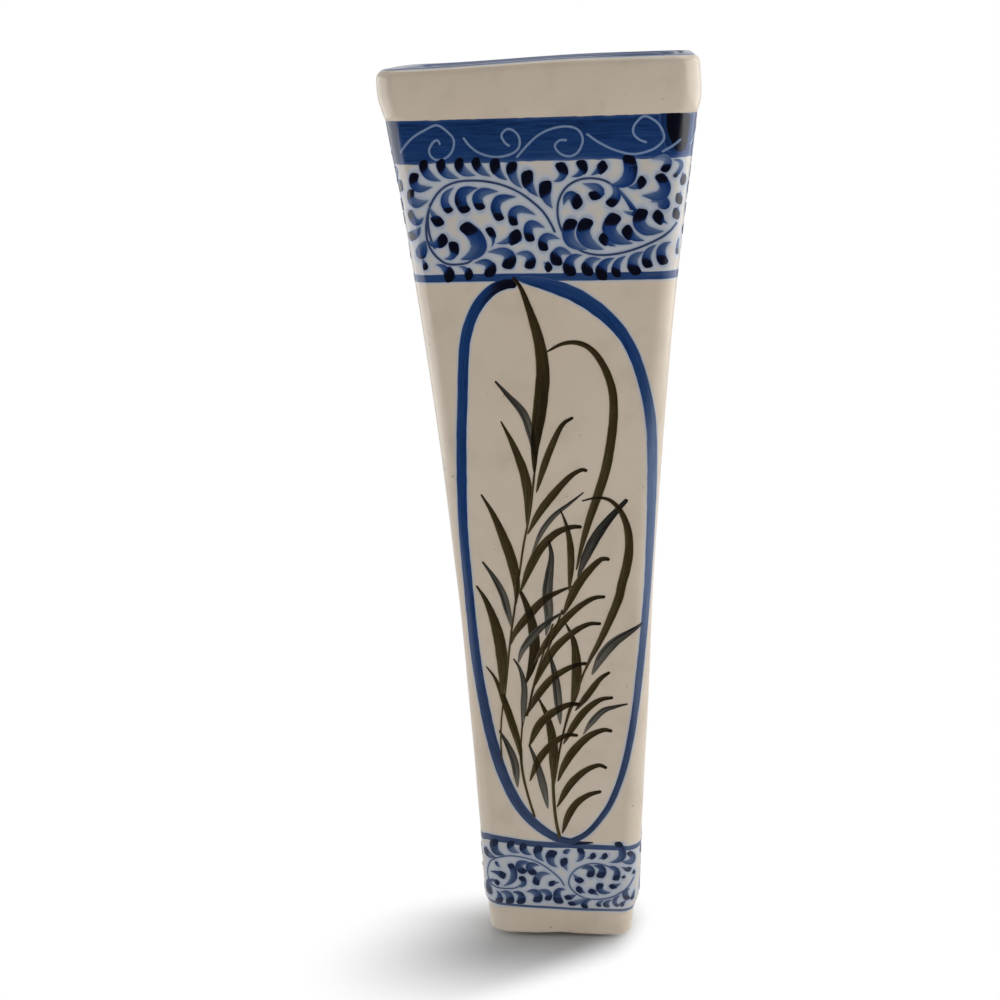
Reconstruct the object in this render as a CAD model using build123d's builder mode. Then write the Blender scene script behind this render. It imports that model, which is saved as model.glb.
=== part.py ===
# Hanging wall vase: a tall flared rectangular vessel built from bent clay slabs, with a flat back,
# a tucked-in foot slab, a thick rim band and a round hole in the back wall to hang it by.
# The back faces +Y and the front -Y. The origin is the middle of the vase's box, at floor level.
import os

from build123d import *

os.makedirs("parts", exist_ok=True)

# Overall sizes, over the rim band
HEIGHT = 300.0
MOUTH_WIDTH = 96.0
MOUTH_DEPTH = 70.0

# Body at the top of the foot slab
WAIST_WIDTH = 55.0
WAIST_DEPTH = 46.0

# How far each bent slab falls inside a straight taper at mid height
SIDE_HOLLOW = 3.4
FRONT_HOLLOW = 2.6

WALL = 6.0
FRONT_CORNER = 5.0
BACK_CORNER = 4.0

# The rim band swells from a small ledge to its full size, then stands upright up to the lip
RIM_HEIGHT = 17.0
RIM_WALL = 7.5
RIM_OVERHANG = 2.75
RIM_LEDGE = 0.5
RIM_SWELL_HEIGHT = 11.0
LIP_OUTER_ROUND = 3.0
LIP_INNER_ROUND = 2.4
LIP_OUTER_SHARE = 0.5  # most of the wall that the outer round may take
LIP_INNER_SHARE = 0.4

FOOT_HEIGHT = 10.0
FOOT_TUCK = 2.5
FOOT_BACK_TUCK = 1.0
FOOT_EDGE_ROUND = 2.0

# Legs of the clay strips pressed into the inside corners
CORNER_SEAM = 6.0
FLOOR_SEAM = 5.0

HOLE_DIAMETER = 9.0
HOLE_BELOW_RIM = 38.0

BACK = MOUTH_DEPTH / 2
RIM_BASE = HEIGHT - RIM_HEIGHT
RIM_FULL = RIM_BASE + RIM_SWELL_HEIGHT
BODY_MIDDLE = (FOOT_HEIGHT + RIM_BASE) / 2
REACH = MOUTH_WIDTH + MOUTH_DEPTH

# Where the right side and the front lie at the mouth, just below the rim band, half way and at the foot
MOUTH_SIDE = MOUTH_WIDTH / 2
SHOULDER_SIDE = MOUTH_SIDE - RIM_OVERHANG
WAIST_SIDE = WAIST_WIDTH / 2
MIDDLE_SIDE = (SHOULDER_SIDE + WAIST_SIDE) / 2 - SIDE_HOLLOW
MOUTH_FRONT = BACK - MOUTH_DEPTH
SHOULDER_FRONT = MOUTH_FRONT + RIM_OVERHANG
WAIST_FRONT = BACK - WAIST_DEPTH
MIDDLE_FRONT = (SHOULDER_FRONT + WAIST_FRONT) / 2 + FRONT_HOLLOW

# Looks across the vase from the front right corner to the back left one
DIAGONAL = Plane(origin=(0, 0, 0), x_dir=(1, -1, 0), z_dir=(-1, -1, 0))


def body_across(inset):
    # The flared body seen from the front, drawn in by inset on both sides
    with BuildSketch(Plane.XZ) as view:
        with BuildLine():
            right = ThreePointArc(
                (WAIST_SIDE - inset, FOOT_HEIGHT),
                (MIDDLE_SIDE - inset, BODY_MIDDLE),
                (SHOULDER_SIDE - inset, RIM_BASE),
            )
            left = mirror(right, about=Plane.YZ)
            Line(right @ 0, left @ 0)
            Line(right @ 1, left @ 1)
        make_face()
    return view.sketch


def body_along(inset, far_side):
    # The body seen from the right: from the front curve, drawn in by inset, to an upright line
    with BuildSketch(Plane.YZ) as view:
        with BuildLine():
            front = ThreePointArc(
                (WAIST_FRONT + inset, FOOT_HEIGHT),
                (MIDDLE_FRONT + inset, BODY_MIDDLE),
                (SHOULDER_FRONT + inset, RIM_BASE),
            )
            Polyline(front @ 1, (far_side, RIM_BASE), (far_side, FOOT_HEIGHT), front @ 0)
        make_face()
    return view.sketch


def rim_across():
    # The rim band seen from the front: it swells, then stands upright
    with BuildSketch(Plane.XZ) as view:
        with BuildLine():
            full = (MOUTH_SIDE, RIM_FULL)
            ledge = (SHOULDER_SIDE + RIM_LEDGE, RIM_BASE)
            swell = TangentArc(full, ledge, tangent=(0, -1))
            side = Line(full, (MOUTH_SIDE, HEIGHT))
            far_swell = mirror(swell, about=Plane.YZ)
            far_side = mirror(side, about=Plane.YZ)
            Line(side @ 1, far_side @ 1)
            Line(swell @ 1, far_swell @ 1)
        make_face()
    return view.sketch


def rim_along():
    # The rim band seen from the right, with its flat back
    with BuildSketch(Plane.YZ) as view:
        with BuildLine():
            full = (MOUTH_FRONT, RIM_FULL)
            ledge = (SHOULDER_FRONT - RIM_LEDGE, RIM_BASE)
            TangentArc(full, ledge, tangent=(0, -1))
            Polyline(ledge, (BACK, RIM_BASE), (BACK, HEIGHT), (MOUTH_FRONT, HEIGHT), full)
        make_face()
    return view.sketch


def mouth_across():
    # The mouth inside the rim band, seen from the front
    base = SHOULDER_SIDE - WALL
    top = MOUTH_SIDE - RIM_WALL
    with BuildSketch(Plane.XZ) as view:
        with BuildLine():
            Polyline((-base, RIM_BASE), (base, RIM_BASE), (top, HEIGHT), (-top, HEIGHT), close=True)
        make_face()
    return view.sketch


def mouth_along():
    # The mouth seen from the right
    base = SHOULDER_FRONT + WALL
    top = MOUTH_FRONT + RIM_WALL
    rear = BACK - WALL
    with BuildSketch(Plane.YZ) as view:
        with BuildLine():
            Polyline((base, RIM_BASE), (rear, RIM_BASE), (rear, HEIGHT), (top, HEIGHT), close=True)
        make_face()
    return view.sketch


def foot_across():
    # The foot slab seen from the front, drawn in towards the bottom
    bottom = WAIST_SIDE - FOOT_TUCK
    with BuildSketch(Plane.XZ) as view:
        with BuildLine():
            Polyline(
                (-bottom, 0), (bottom, 0), (WAIST_SIDE, FOOT_HEIGHT), (-WAIST_SIDE, FOOT_HEIGHT), close=True
            )
        make_face()
    return view.sketch


def foot_along():
    # The foot slab seen from the right
    front = WAIST_FRONT + FOOT_TUCK
    rear = BACK - FOOT_BACK_TUCK
    with BuildSketch(Plane.YZ) as view:
        with BuildLine():
            Polyline((front, 0), (rear, 0), (BACK, FOOT_HEIGHT), (WAIST_FRONT, FOOT_HEIGHT), close=True)
        make_face()
    return view.sketch


def seams_diagonal():
    # The hollow seen along a diagonal, drawn in at two opposite corners by their seams
    root_two = 2**0.5
    rear = BACK - WALL
    heights = [FOOT_HEIGHT, BODY_MIDDLE, RIM_BASE]
    sides = [side - WALL for side in (WAIST_SIDE, MIDDLE_SIDE, SHOULDER_SIDE)]
    fronts = [front + WALL for front in (WAIST_FRONT, MIDDLE_FRONT, SHOULDER_FRONT)]
    near = [(side - front - CORNER_SEAM) / root_two for side, front in zip(sides, fronts)]
    far = [(CORNER_SEAM - side - rear) / root_two for side in sides]
    with BuildSketch(DIAGONAL) as view:
        with BuildLine():
            near_curve = ThreePointArc(*zip(near, heights))
            far_curve = ThreePointArc(*zip(far, heights))
            Line(near_curve @ 0, far_curve @ 0)
            Line(near_curve @ 1, far_curve @ 1)
        make_face()
    return view.sketch


def corner_edges(builder):
    # The edges that run up the corners, front pair first
    box = builder.part.bounding_box()
    rising = [edge for edge in builder.edges() if edge.bounding_box().size.Z > box.size.Z / 2]
    return ShapeList(rising).sort_by(Axis.Y)


# Whole outer form of the flared body, from the foot to the rim band
with BuildPart() as body_form:
    extrude(body_across(0), amount=REACH, both=True)
    extrude(body_along(0, BACK), amount=REACH, both=True, mode=Mode.INTERSECT)
    fillet(corner_edges(body_form)[:2], radius=FRONT_CORNER)
    fillet(corner_edges(body_form)[-2:], radius=BACK_CORNER)

# The hollow inside the walls: with sharp corners, with its corner seams, and with the floor seam too
with BuildPart() as well:
    extrude(body_across(WALL), amount=REACH, both=True)
    extrude(body_along(WALL, BACK - WALL), amount=REACH, both=True, mode=Mode.INTERSECT)

with BuildPart() as seamed_well:
    add(well.part)
    extrude(seams_diagonal(), amount=REACH, both=True, mode=Mode.INTERSECT)
    extrude(mirror(seams_diagonal(), about=Plane.YZ), amount=REACH, both=True, mode=Mode.INTERSECT)

with BuildPart() as finished_well:
    add(seamed_well.part)
    chamfer(finished_well.faces().sort_by(Axis.Z)[0].edges(), length=FLOOR_SEAM)

# Front slab, as wide as the vase, with both rounded front corners
with BuildPart() as front_wall:
    add(body_form.part)
    extrude(body_along(WALL, -REACH), amount=REACH, both=True, mode=Mode.INTERSECT)
front_wall.part.label = "front_wall"
export_step(front_wall.part, "parts/front_wall.step")

# Flat back slab with the hanging hole
with BuildPart() as back_wall:
    add(body_form.part)
    split(bisect_by=Plane.XZ.offset(WALL - BACK), keep=Keep.BOTTOM)
    with Locations(Plane(origin=(0, BACK, HEIGHT - HOLE_BELOW_RIM), z_dir=(0, 1, 0))):
        Hole(radius=HOLE_DIAMETER / 2, depth=WALL)
back_wall.part.label = "back_wall"
export_step(back_wall.part, "parts/back_wall.step")

# Side slabs, set between the front and the back
with BuildPart() as both_sides:
    add(body_form.part)
    extrude(body_along(WALL, BACK - WALL), amount=REACH, both=True, mode=Mode.INTERSECT)
    add(well.part, mode=Mode.SUBTRACT)

for side_name, side_solid in zip(["left_wall", "right_wall"], both_sides.solids().sort_by(Axis.X)):
    with BuildPart() as side_wall:
        add(side_solid)
    side_wall.part.label = side_name
    export_step(side_wall.part, f"parts/{side_name}.step")

# Foot slab: the thick floor, drawn in towards the bottom, with a softened lower edge
with BuildPart() as foot_slab:
    extrude(foot_across(), amount=REACH, both=True)
    extrude(foot_along(), amount=REACH, both=True, mode=Mode.INTERSECT)
    fillet(corner_edges(foot_slab)[:2], radius=FRONT_CORNER)
    fillet(corner_edges(foot_slab)[-2:], radius=BACK_CORNER)
    fillet(foot_slab.faces().sort_by(Axis.Z)[0].edges(), radius=FOOT_EDGE_ROUND)
foot_slab.part.label = "foot_slab"
export_step(foot_slab.part, "parts/foot_slab.step")

# The mouth through the rim band, with the corner seams carried up through it
with BuildPart() as mouth:
    extrude(mouth_across(), amount=REACH, both=True)
    extrude(mouth_along(), amount=REACH, both=True, mode=Mode.INTERSECT)
    chamfer(corner_edges(mouth), length=CORNER_SEAM)

# Rim band: a thick strip on top of the walls, proud of the front and sides, with a rounded lip
lip_outer = min(LIP_OUTER_ROUND, LIP_OUTER_SHARE * WALL)
with BuildPart() as rim_band:
    extrude(rim_across(), amount=REACH, both=True)
    extrude(rim_along(), amount=REACH, both=True, mode=Mode.INTERSECT)
    fillet(corner_edges(rim_band)[:2], radius=FRONT_CORNER)
    fillet(corner_edges(rim_band)[-2:], radius=BACK_CORNER)
    fillet(rim_band.faces().sort_by(Axis.Z)[-1].edges(), radius=lip_outer)
    add(mouth.part, mode=Mode.SUBTRACT)
    lip_edges = rim_band.faces().sort_by(Axis.Z)[-1].inner_wires()[0].edges()
    fillet(lip_edges, radius=min(LIP_INNER_ROUND, LIP_INNER_SHARE * WALL))
rim_band.part.label = "rim_band"
export_step(rim_band.part, "parts/rim_band.step")

# Strips of clay pressed into the four upright inside corners
with BuildPart() as corner_seams:
    add(well.part)
    add(seamed_well.part, mode=Mode.SUBTRACT)

seam_rows = corner_seams.solids().sort_by(Axis.Y)
for end, row in zip(["front", "back"], [seam_rows[:2], seam_rows[2:]]):
    for hand, seam_solid in zip(["left", "right"], ShapeList(row).sort_by(Axis.X)):
        with BuildPart() as corner_seam:
            add(seam_solid)
        corner_seam.part.label = f"{end}_{hand}_seam"
        export_step(corner_seam.part, f"parts/{end}_{hand}_seam.step")

# Ring of clay pressed into the corner round the floor
with BuildPart() as floor_seam:
    add(seamed_well.part)
    add(finished_well.part, mode=Mode.SUBTRACT)
floor_seam.part.label = "floor_seam"
export_step(floor_seam.part, "parts/floor_seam.step")
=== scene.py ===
import math

import bpy
import numpy as np
from mathutils import Matrix, Vector, noise


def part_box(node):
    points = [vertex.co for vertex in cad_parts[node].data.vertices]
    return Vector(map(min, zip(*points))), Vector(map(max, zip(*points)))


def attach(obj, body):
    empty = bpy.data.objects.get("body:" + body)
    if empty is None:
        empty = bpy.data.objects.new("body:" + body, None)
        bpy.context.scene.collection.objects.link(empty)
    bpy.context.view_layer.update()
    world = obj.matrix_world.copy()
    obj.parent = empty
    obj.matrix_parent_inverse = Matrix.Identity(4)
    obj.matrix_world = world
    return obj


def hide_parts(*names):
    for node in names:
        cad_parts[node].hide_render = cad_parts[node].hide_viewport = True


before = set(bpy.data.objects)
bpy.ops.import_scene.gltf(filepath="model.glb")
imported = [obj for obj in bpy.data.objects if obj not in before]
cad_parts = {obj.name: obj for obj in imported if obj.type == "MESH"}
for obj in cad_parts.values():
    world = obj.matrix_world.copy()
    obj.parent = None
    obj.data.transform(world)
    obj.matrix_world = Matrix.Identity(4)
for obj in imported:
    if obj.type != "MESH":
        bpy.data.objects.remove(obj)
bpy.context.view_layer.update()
mm = 0.001


# Sizes of the slabs, read from the frame and kept in millimetres
def boxInMm(node):
    low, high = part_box(node)
    return low / mm, high / mm


rimLow, rimHigh = boxInMm("rim_band")
wallLow, wallHigh = boxInMm("front_wall")
footLow, footHigh = boxInMm("foot_slab")
backY = rimHigh.y
print("frame loaded, vase height", round(rimHigh.z, 2), "mm")

# The slabs of the body
walls = {
    "thickness": 6.0,
    "insideCorner": 1.2,
    "sideHollow": 3.4,  # how far the sides fall inside a straight taper
    "frontHollow": 2.6,
    "frontCorner": 6.5,
    "backCorner": 4.0,
    "dentScale": 48.0,  # hand-pressed unevenness, always inwards
    "dentDepth": 0.4,
    "rippleScale": 15.0,
    "rippleDepth": 0.05,
    "flatBack": (0.5, 8.5),  # it dried flat on a board: dents begin and are full this far from the back
    "widthDrift": [
        (0, -0.3), (0.1, 0), (0.18, 0.35), (0.3, 0.6), (0.45, 0.35), (0.7, 0.25), (0.88, 0.45), (1, 0.85),
    ],
    "flareFrom": 0.88,  # from this share of the height up, the front drifts out with the sides
    "footLean": -0.6,  # the lower end stands a little to the left
    "leanOver": (20.0, 90.0),  # and the wall comes upright between these heights
    "footSpread": 1.0,  # the foot sticks out further at the left
    "spreadOver": (14.0, 9.0),
    "spreadAcross": (-5.0, -25.0),
    "shoulder": 1.9,  # how far the walls turn in towards the foot
    "shoulderOver": (17.0, 9.5),
    "rowCounts": (8, 80, 8, 5),  # rows on the shoulder, up to the hole, past it and up to the rim
}

# Columns round one ring of a slab piece
ringCount = {"frontHalf": 28, "frontCorner": 12, "side": 26, "backCorner": 8, "back": 40}


def mixed(a, b, t):
    return a + (b - a) * t


def ramp(value, start, end):
    # 0 before the start, 1 past the end, with soft turns
    t = min(max((value - start) / (end - start), 0.0), 1.0)
    return t * t * (3 - 2 * t)


def quarter(steps):
    # (cosine, sine) in even steps through a quarter turn
    turns = [math.radians(90 * k / steps) for k in range(steps + 1)]
    return [(math.cos(t), math.sin(t)) for t in turns]


def heightShare(z):
    return min(max((z - wallLow.z) / (wallHigh.z - wallLow.z), 0.0), 1.0)


def drift(t):
    # hand-made departure of the width from its regular line
    for (a, low), (b, high) in zip(walls["widthDrift"], walls["widthDrift"][1:]):
        if t <= b:
            return mixed(low, high, ramp(t, a, b))
    return high


def halfWidth(z):
    t = heightShare(z)
    return mixed(footHigh.x, wallHigh.x, t) - 4 * walls["sideHollow"] * t * (1 - t) + drift(t)


def frontAt(z):
    t = heightShare(z)
    flare = walls["widthDrift"][-1][1] * ramp(t, walls["flareFrom"], 1)
    return mixed(footLow.y, wallLow.y, t) + 4 * walls["frontHollow"] * t * (1 - t) - flare


def leaning(point):
    x, y, z = point
    lean = walls["footLean"] * (1 - ramp(z, *walls["leanOver"]))
    spread = walls["footSpread"] * ramp(z, *walls["spreadOver"]) * ramp(x, *walls["spreadAcross"])
    return x + lean - spread, y, z


def tuckAt(z):
    return walls["shoulder"] * ramp(z, *walls["shoulderOver"])


def dent(x, y, z):
    wide = 0.5 + 0.5 * noise.noise(Vector((x, y, z)) / walls["dentScale"])
    fine = 0.5 + 0.5 * noise.noise(Vector((x, y, z)) / walls["rippleScale"])
    press = walls["dentDepth"] * wide + walls["rippleDepth"] * fine
    near, far = walls["flatBack"]
    return press * ramp(y, backY - near, backY - far)


def wallPoint(s, z, lift):
    # s runs along the outside from the middle of the front, lift stands off the wall
    half, front, r = halfWidth(z), frontAt(z), walls["frontCorner"]
    a, flat = abs(s), half - r
    turn = min(max((a - flat) / r, 0.0), math.pi / 2)
    along = max(a - flat - r * math.pi / 2, 0.0)
    nx, ny = math.sin(turn), -math.cos(turn)
    x = min(a, flat) + r * nx
    y = front + r + r * ny + along
    side = 1 if s >= 0 else -1
    stand = lift - dent(side * x, y, z) - tuckAt(z)
    return side * (x + nx * stand), y + ny * stand, z


def ring(half, front, back, frontRound, backRound):
    # points (x, y, nx, ny) of a rounded rectangle, from the middle of the front to the right
    pts = []

    def straight(a, b, count, normal):
        for k in range(count):
            t = k / count
            pts.append((mixed(a[0], b[0], t), mixed(a[1], b[1], t), *normal))

    def corner(cx, cy, r, start, count):
        for k in range(count):
            t = math.radians(start + 90 * k / count)
            pts.append((cx + r * math.cos(t), cy + r * math.sin(t), math.cos(t), math.sin(t)))

    fx, bx = half - frontRound, half - backRound
    fy, by = front + frontRound, back - backRound
    straight((0, front), (fx, front), ringCount["frontHalf"], (0, -1))
    corner(fx, fy, frontRound, -90, ringCount["frontCorner"])
    straight((half, fy), (half, by), ringCount["side"], (1, 0))
    corner(bx, by, backRound, 0, ringCount["backCorner"])
    straight((bx, back), (-bx, back), ringCount["back"], (0, 1))
    corner(-bx, by, backRound, 90, ringCount["backCorner"])
    straight((-half, by), (-half, fy), ringCount["side"], (-1, 0))
    corner(-fx, fy, frontRound, 180, ringCount["frontCorner"])
    straight((-fx, front), (0, front), ringCount["frontHalf"], (0, -1))
    return pts


def dented(points, z, inset=0.0):
    # the ring at this height, dented and drawn in, at the back half as far
    out = []
    for x, y, nx, ny in points:
        d = dent(x, y, z) + inset * (1 - 0.5 * max(ny, 0))
        out.append((x - nx * d, y - ny * d, z))
    return out


def loft(rows, closed):
    # skins rows of equal rings, outside upwards; closed joins the last row to the first
    count = len(rows[0])
    verts = [p for row in rows for p in row]
    faces = []
    for i in range(len(rows) if closed else len(rows) - 1):
        a, b = i * count, (i + 1) % len(rows) * count
        for j in range(count):
            k = (j + 1) % count
            faces.append((a + j, a + k, b + k, b + j))
    if not closed:
        faces.append(tuple(reversed(range(count))))
        faces.append(tuple(range((len(rows) - 1) * count, len(rows) * count)))
    return verts, faces


def addPiece(name, verts, faces, material, slot, stands=(), marks=None, sharp=38):
    mesh = bpy.data.meshes.new(name)
    mesh.from_pydata([Vector(leaning(v)) * mm for v in verts], [], faces)
    for mark, (kind, values) in (marks or {}).items():
        field = "vector" if kind == "FLOAT_VECTOR" else "value"
        mesh.attributes.new(mark, kind, "POINT").data.foreach_set(field, np.ravel(values))
    mesh.polygons.foreach_set("use_smooth", [True] * len(mesh.polygons))
    mesh.set_sharp_from_angle(angle=math.radians(sharp))
    mesh.materials.append(material)
    mesh.update()
    obj = bpy.data.objects.new(name, mesh)
    bpy.context.scene.collection.objects.link(obj)
    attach(obj, "root")
    if stands:
        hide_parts(*stands)
    print("made", name, len(mesh.vertices), "points")


# Shader building: a wire is one socket, and sums of wires add Math nodes
class Wire:
    def __init__(self, bench, socket):
        self.bench = bench
        self.socket = socket

    def math(self, operation, first, second):
        node = self.bench.add("ShaderNodeMath", {"operation": operation}, {0: first, 1: second})
        return node["Value"]

    def __add__(self, other):
        return self.math("ADD", self, other)

    def __radd__(self, other):
        return self.math("ADD", other, self)

    def __sub__(self, other):
        return self.math("SUBTRACT", self, other)

    def __rsub__(self, other):
        return self.math("SUBTRACT", other, self)

    def __mul__(self, other):
        return self.math("MULTIPLY", self, other)

    def __rmul__(self, other):
        return self.math("MULTIPLY", other, self)

    def __truediv__(self, other):
        return self.math("DIVIDE", self, other)

    def atLeast(self, other):
        return self.math("MAXIMUM", self, other)

    def root(self):
        return self.math("SQRT", self, 0.0)


class Placed:
    def __init__(self, bench, node):
        self.bench = bench
        self.node = node

    def __getitem__(self, name):
        return Wire(self.bench, self.node.outputs[name])


class Bench:
    def __init__(self, tree):
        self.tree = tree
        tree.nodes.clear()

    def add(self, kind, settings=None, sockets=None):
        node = self.tree.nodes.new(kind)
        for name, value in (settings or {}).items():
            if name == "stops":
                self.setStops(node.color_ramp, value)
            else:
                setattr(node, name, value)
        for name, value in (sockets or {}).items():
            socket = node.inputs[name]
            if isinstance(value, Wire):
                self.tree.links.new(value.socket, socket)
            else:
                socket.default_value = value
        return Placed(self, node)

    def setStops(self, ramp, stops):
        while len(ramp.elements) < len(stops):
            ramp.elements.new(1.0)
        for element, (place, colour) in zip(ramp.elements, stops):
            element.position = place
            element.color = (*colour, 1)

    def blend(self, factor, a, b, way="MIX"):
        settings = {"data_type": "RGBA", "blend_type": way, "clamp_factor": True}
        node = self.add("ShaderNodeMix", settings, {0: factor, 6: a, 7: b})
        return Wire(self, node.node.outputs[2])

    def step(self, value, low, high):
        settings = {"interpolation_type": "SMOOTHSTEP", "clamp": True}
        sockets = {"Value": value, "From Min": low, "From Max": high}
        return self.add("ShaderNodeMapRange", settings, sockets)["Result"]

    def cloud(self, vector, scale, detail=2.0, rough=0.5):
        sockets = {"Vector": vector, "Scale": scale, "Detail": detail, "Roughness": rough}
        return self.add("ShaderNodeTexNoise", {"noise_dimensions": "3D"}, sockets)["Fac"]


def linear(r, g, b):
    def one(v):
        v = v / 255
        return v / 12.92 if v <= 0.04045 else ((v + 0.055) / 1.055) ** 2.4

    return one(r), one(g), one(b), 1


def newMaterial(name):
    material = bpy.data.materials.new(name)
    material.use_nodes = True
    return material, Bench(material.node_tree)


# The white glaze, and what each paint lets through as it lies thicker
glaze = {
    "cream": linear(192, 180, 164),
    "warm": linear(186, 170, 151),
    "cool": linear(177, 174, 169),  # inside the scroll bands
    "bled": linear(166, 172, 182),  # where the blue has run into the glaze
    "bledDeep": linear(142, 153, 172),  # and right beside a stroke
    "smudge": linear(171, 158, 143),
    "speck": linear(112, 92, 66),
    "cloudSize": 42.0,
    "smudgeSize": 13.0,
    "grainSize": 3.2,
    "speckSize": 1.5,
    "gritSize": 0.7,  # of the bare clay under the foot
    "warmOver": (0.35, 0.75),  # between which values of its cloud a tone comes in
    "warmShare": 0.55,
    "smudgeOver": (0.45, 0.8),
    "smudgeShare": 0.6,
    "speckOver": (0.86, 0.885),
    "speckShare": 0.5,
    "grainShare": 0.12,
    "coolShare": 0.8,
    "coolSoft": 0.6,
    "coolBack": (30.0, 12.0),  # the cool ground ends between these distances from the back
    "upperBand": (237.0, 271.5),
    "lowerBand": (12.0, 38.0),
    "bledOver": (0.04, 0.5),
    "bledShare": 0.88,
    "bledDeepOver": (0.5, 1.0),
    "duller": (0.05, 0.17),  # the ring's paint is duller below, between these heights in metres
    "roughness": 0.13,
    "grainRough": 0.05,
    "driftRough": 0.04,
    "clayRough": 0.85,
    "ior": 1.52,
    "bump": 0.000035,
    "bumpStrength": 0.5,
    "swell": 3.0,  # how much more the drifts stand out than the grain
}

paints = {
    "cobalt": [
        (0.0, (1, 1, 1)),
        (0.13, (0.5, 0.66, 1.0)),
        (0.33, (0.15, 0.265, 0.57)),
        (0.55, (0.032, 0.106, 0.4)),
        (0.68, (0.009, 0.074, 0.36)),
        (0.78, (0.005, 0.04, 0.21)),
        (0.88, (0.005, 0.012, 0.06)),
        (1.0, (0.001, 0.002, 0.018)),
    ],
    "dusty": [
        (0.0, (1, 1, 1)),
        (0.13, (0.52, 0.62, 0.86)),
        (0.33, (0.18, 0.275, 0.52)),
        (0.55, (0.072, 0.133, 0.34)),
        (0.72, (0.03, 0.06, 0.18)),
        (0.86, (0.017, 0.029, 0.085)),
        (1.0, (0.006, 0.009, 0.024)),
    ],
    "olive": [
        (0.0, (1, 1, 1)),
        (0.2, (0.48, 0.46, 0.36)),
        (0.4, (0.18, 0.16, 0.095)),
        (0.65, (0.068, 0.054, 0.02)),
        (1.0, (0.012, 0.009, 0.004)),
    ],
    "scratch": [
        (0.0, (1, 1, 1)),
        (0.5, (0.3, 0.5, 0.98)),
        (1.0, (0.1, 0.26, 0.75)),
    ],
    "slate": [
        (0.0, (1, 1, 1)),
        (0.25, (0.5, 0.52, 0.52)),
        (0.5, (0.2, 0.215, 0.22)),
        (0.75, (0.075, 0.08, 0.082)),
        (1.0, (0.02, 0.02, 0.022)),
    ],
}


def glazeGround(bench):
    # cream glaze with drifts of tone, a cooler ground in the scroll bands and a few iron specks
    place = bench.add("ShaderNodeTexCoord")["Object"]
    apart = bench.add("ShaderNodeSeparateXYZ", None, {"Vector": place})

    def cloudOf(size, detail, rough=0.5):
        return bench.cloud(place, 1 / (glaze[size] * mm), detail, rough)

    def tinged(colour, tone, cloud):
        amount = bench.step(cloud, *glaze[tone + "Over"]) * glaze[tone + "Share"]
        return bench.blend(amount, colour, glaze[tone])

    drift = cloudOf("cloudSize", 3.0)
    grain = cloudOf("grainSize", 2.0)
    cool, soft = 0.0, glaze["coolSoft"]
    for low, high in (glaze["upperBand"], glaze["lowerBand"]):
        rise = bench.step(apart["Z"], (low - soft) * mm, (low + soft) * mm)
        fall = bench.step(apart["Z"], (high - soft) * mm, (high + soft) * mm)
        cool = cool + (rise - fall)
    cool = cool * (1 - bench.step(apart["Y"], *((backY - far) * mm for far in glaze["coolBack"])))
    colour = tinged(glaze["cream"], "warm", drift)
    colour = bench.blend(cool * glaze["coolShare"], colour, glaze["cool"])
    colour = tinged(colour, "smudge", cloudOf("smudgeSize", 4.0, 0.6))
    colour = bench.blend(grain * glaze["grainShare"], colour, glaze["warm"])
    colour = tinged(colour, "speck", cloudOf("speckSize", 0.0))
    return place, drift, grain, colour


def painted(bench, place, colour, ink, paint, lowPaint, streakiness):
    # the ground seen through paint that lies in streaks
    brush = bench.add("ShaderNodeAttribute", {"attribute_name": "brush"})["Vector"]
    streak = bench.cloud(brush, 1.0, 3.0, 0.6)
    thick = ink * ((streak - 0.5) * streakiness + 1.0)

    def toneOf(name):
        return bench.add("ShaderNodeValToRGB", {"stops": paints[name]}, {"Fac": thick})["Color"]

    tone = toneOf(paint)
    if lowPaint:
        height = bench.add("ShaderNodeSeparateXYZ", None, {"Vector": place})["Z"]
        tone = bench.blend(bench.step(height, *glaze["duller"]), toneOf(lowPaint), tone)
    return bench.blend(1.0, colour, tone, "MULTIPLY")


def glazeMaterial(name, paint, streakiness=0.0, bareClay=None, lowPaint=None):
    material, bench = newMaterial(name)
    place, drift, grain, colour = glazeGround(bench)
    ink = bench.add("ShaderNodeAttribute", {"attribute_name": "ink"})["Fac"]
    if paint == "bleed":
        bled = bench.blend(bench.step(ink, *glaze["bledDeepOver"]), glaze["bled"], glaze["bledDeep"])
        colour = bench.blend(bench.step(ink, *glaze["bledOver"]) * glaze["bledShare"], colour, bled)
    else:
        colour = painted(bench, place, colour, ink, paint, lowPaint, streakiness)
    rough = glaze["roughness"] + grain * glaze["grainRough"] + drift * glaze["driftRough"]
    if bareClay:
        bare = bench.add("ShaderNodeAttribute", {"attribute_name": "bare"})["Fac"]
        grit = bench.cloud(place, 1 / (glaze["gritSize"] * mm), 4.0)
        colour = bench.blend(bare, colour, bench.blend(grit, *bareClay))
        rough = rough + bare * (glaze["clayRough"] - rough)
    swell = drift * glaze["swell"] + grain
    relief = {"Strength": glaze["bumpStrength"], "Distance": glaze["bump"], "Height": swell}
    normal = bench.add("ShaderNodeBump", None, relief)["Normal"]
    sockets = {"Base Color": colour, "Roughness": rough, "IOR": glaze["ior"], "Normal": normal}
    shader = bench.add("ShaderNodeBsdfPrincipled", None, sockets)["BSDF"]
    bench.add("ShaderNodeOutputMaterial", None, {"Surface": shader})
    return material


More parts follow.
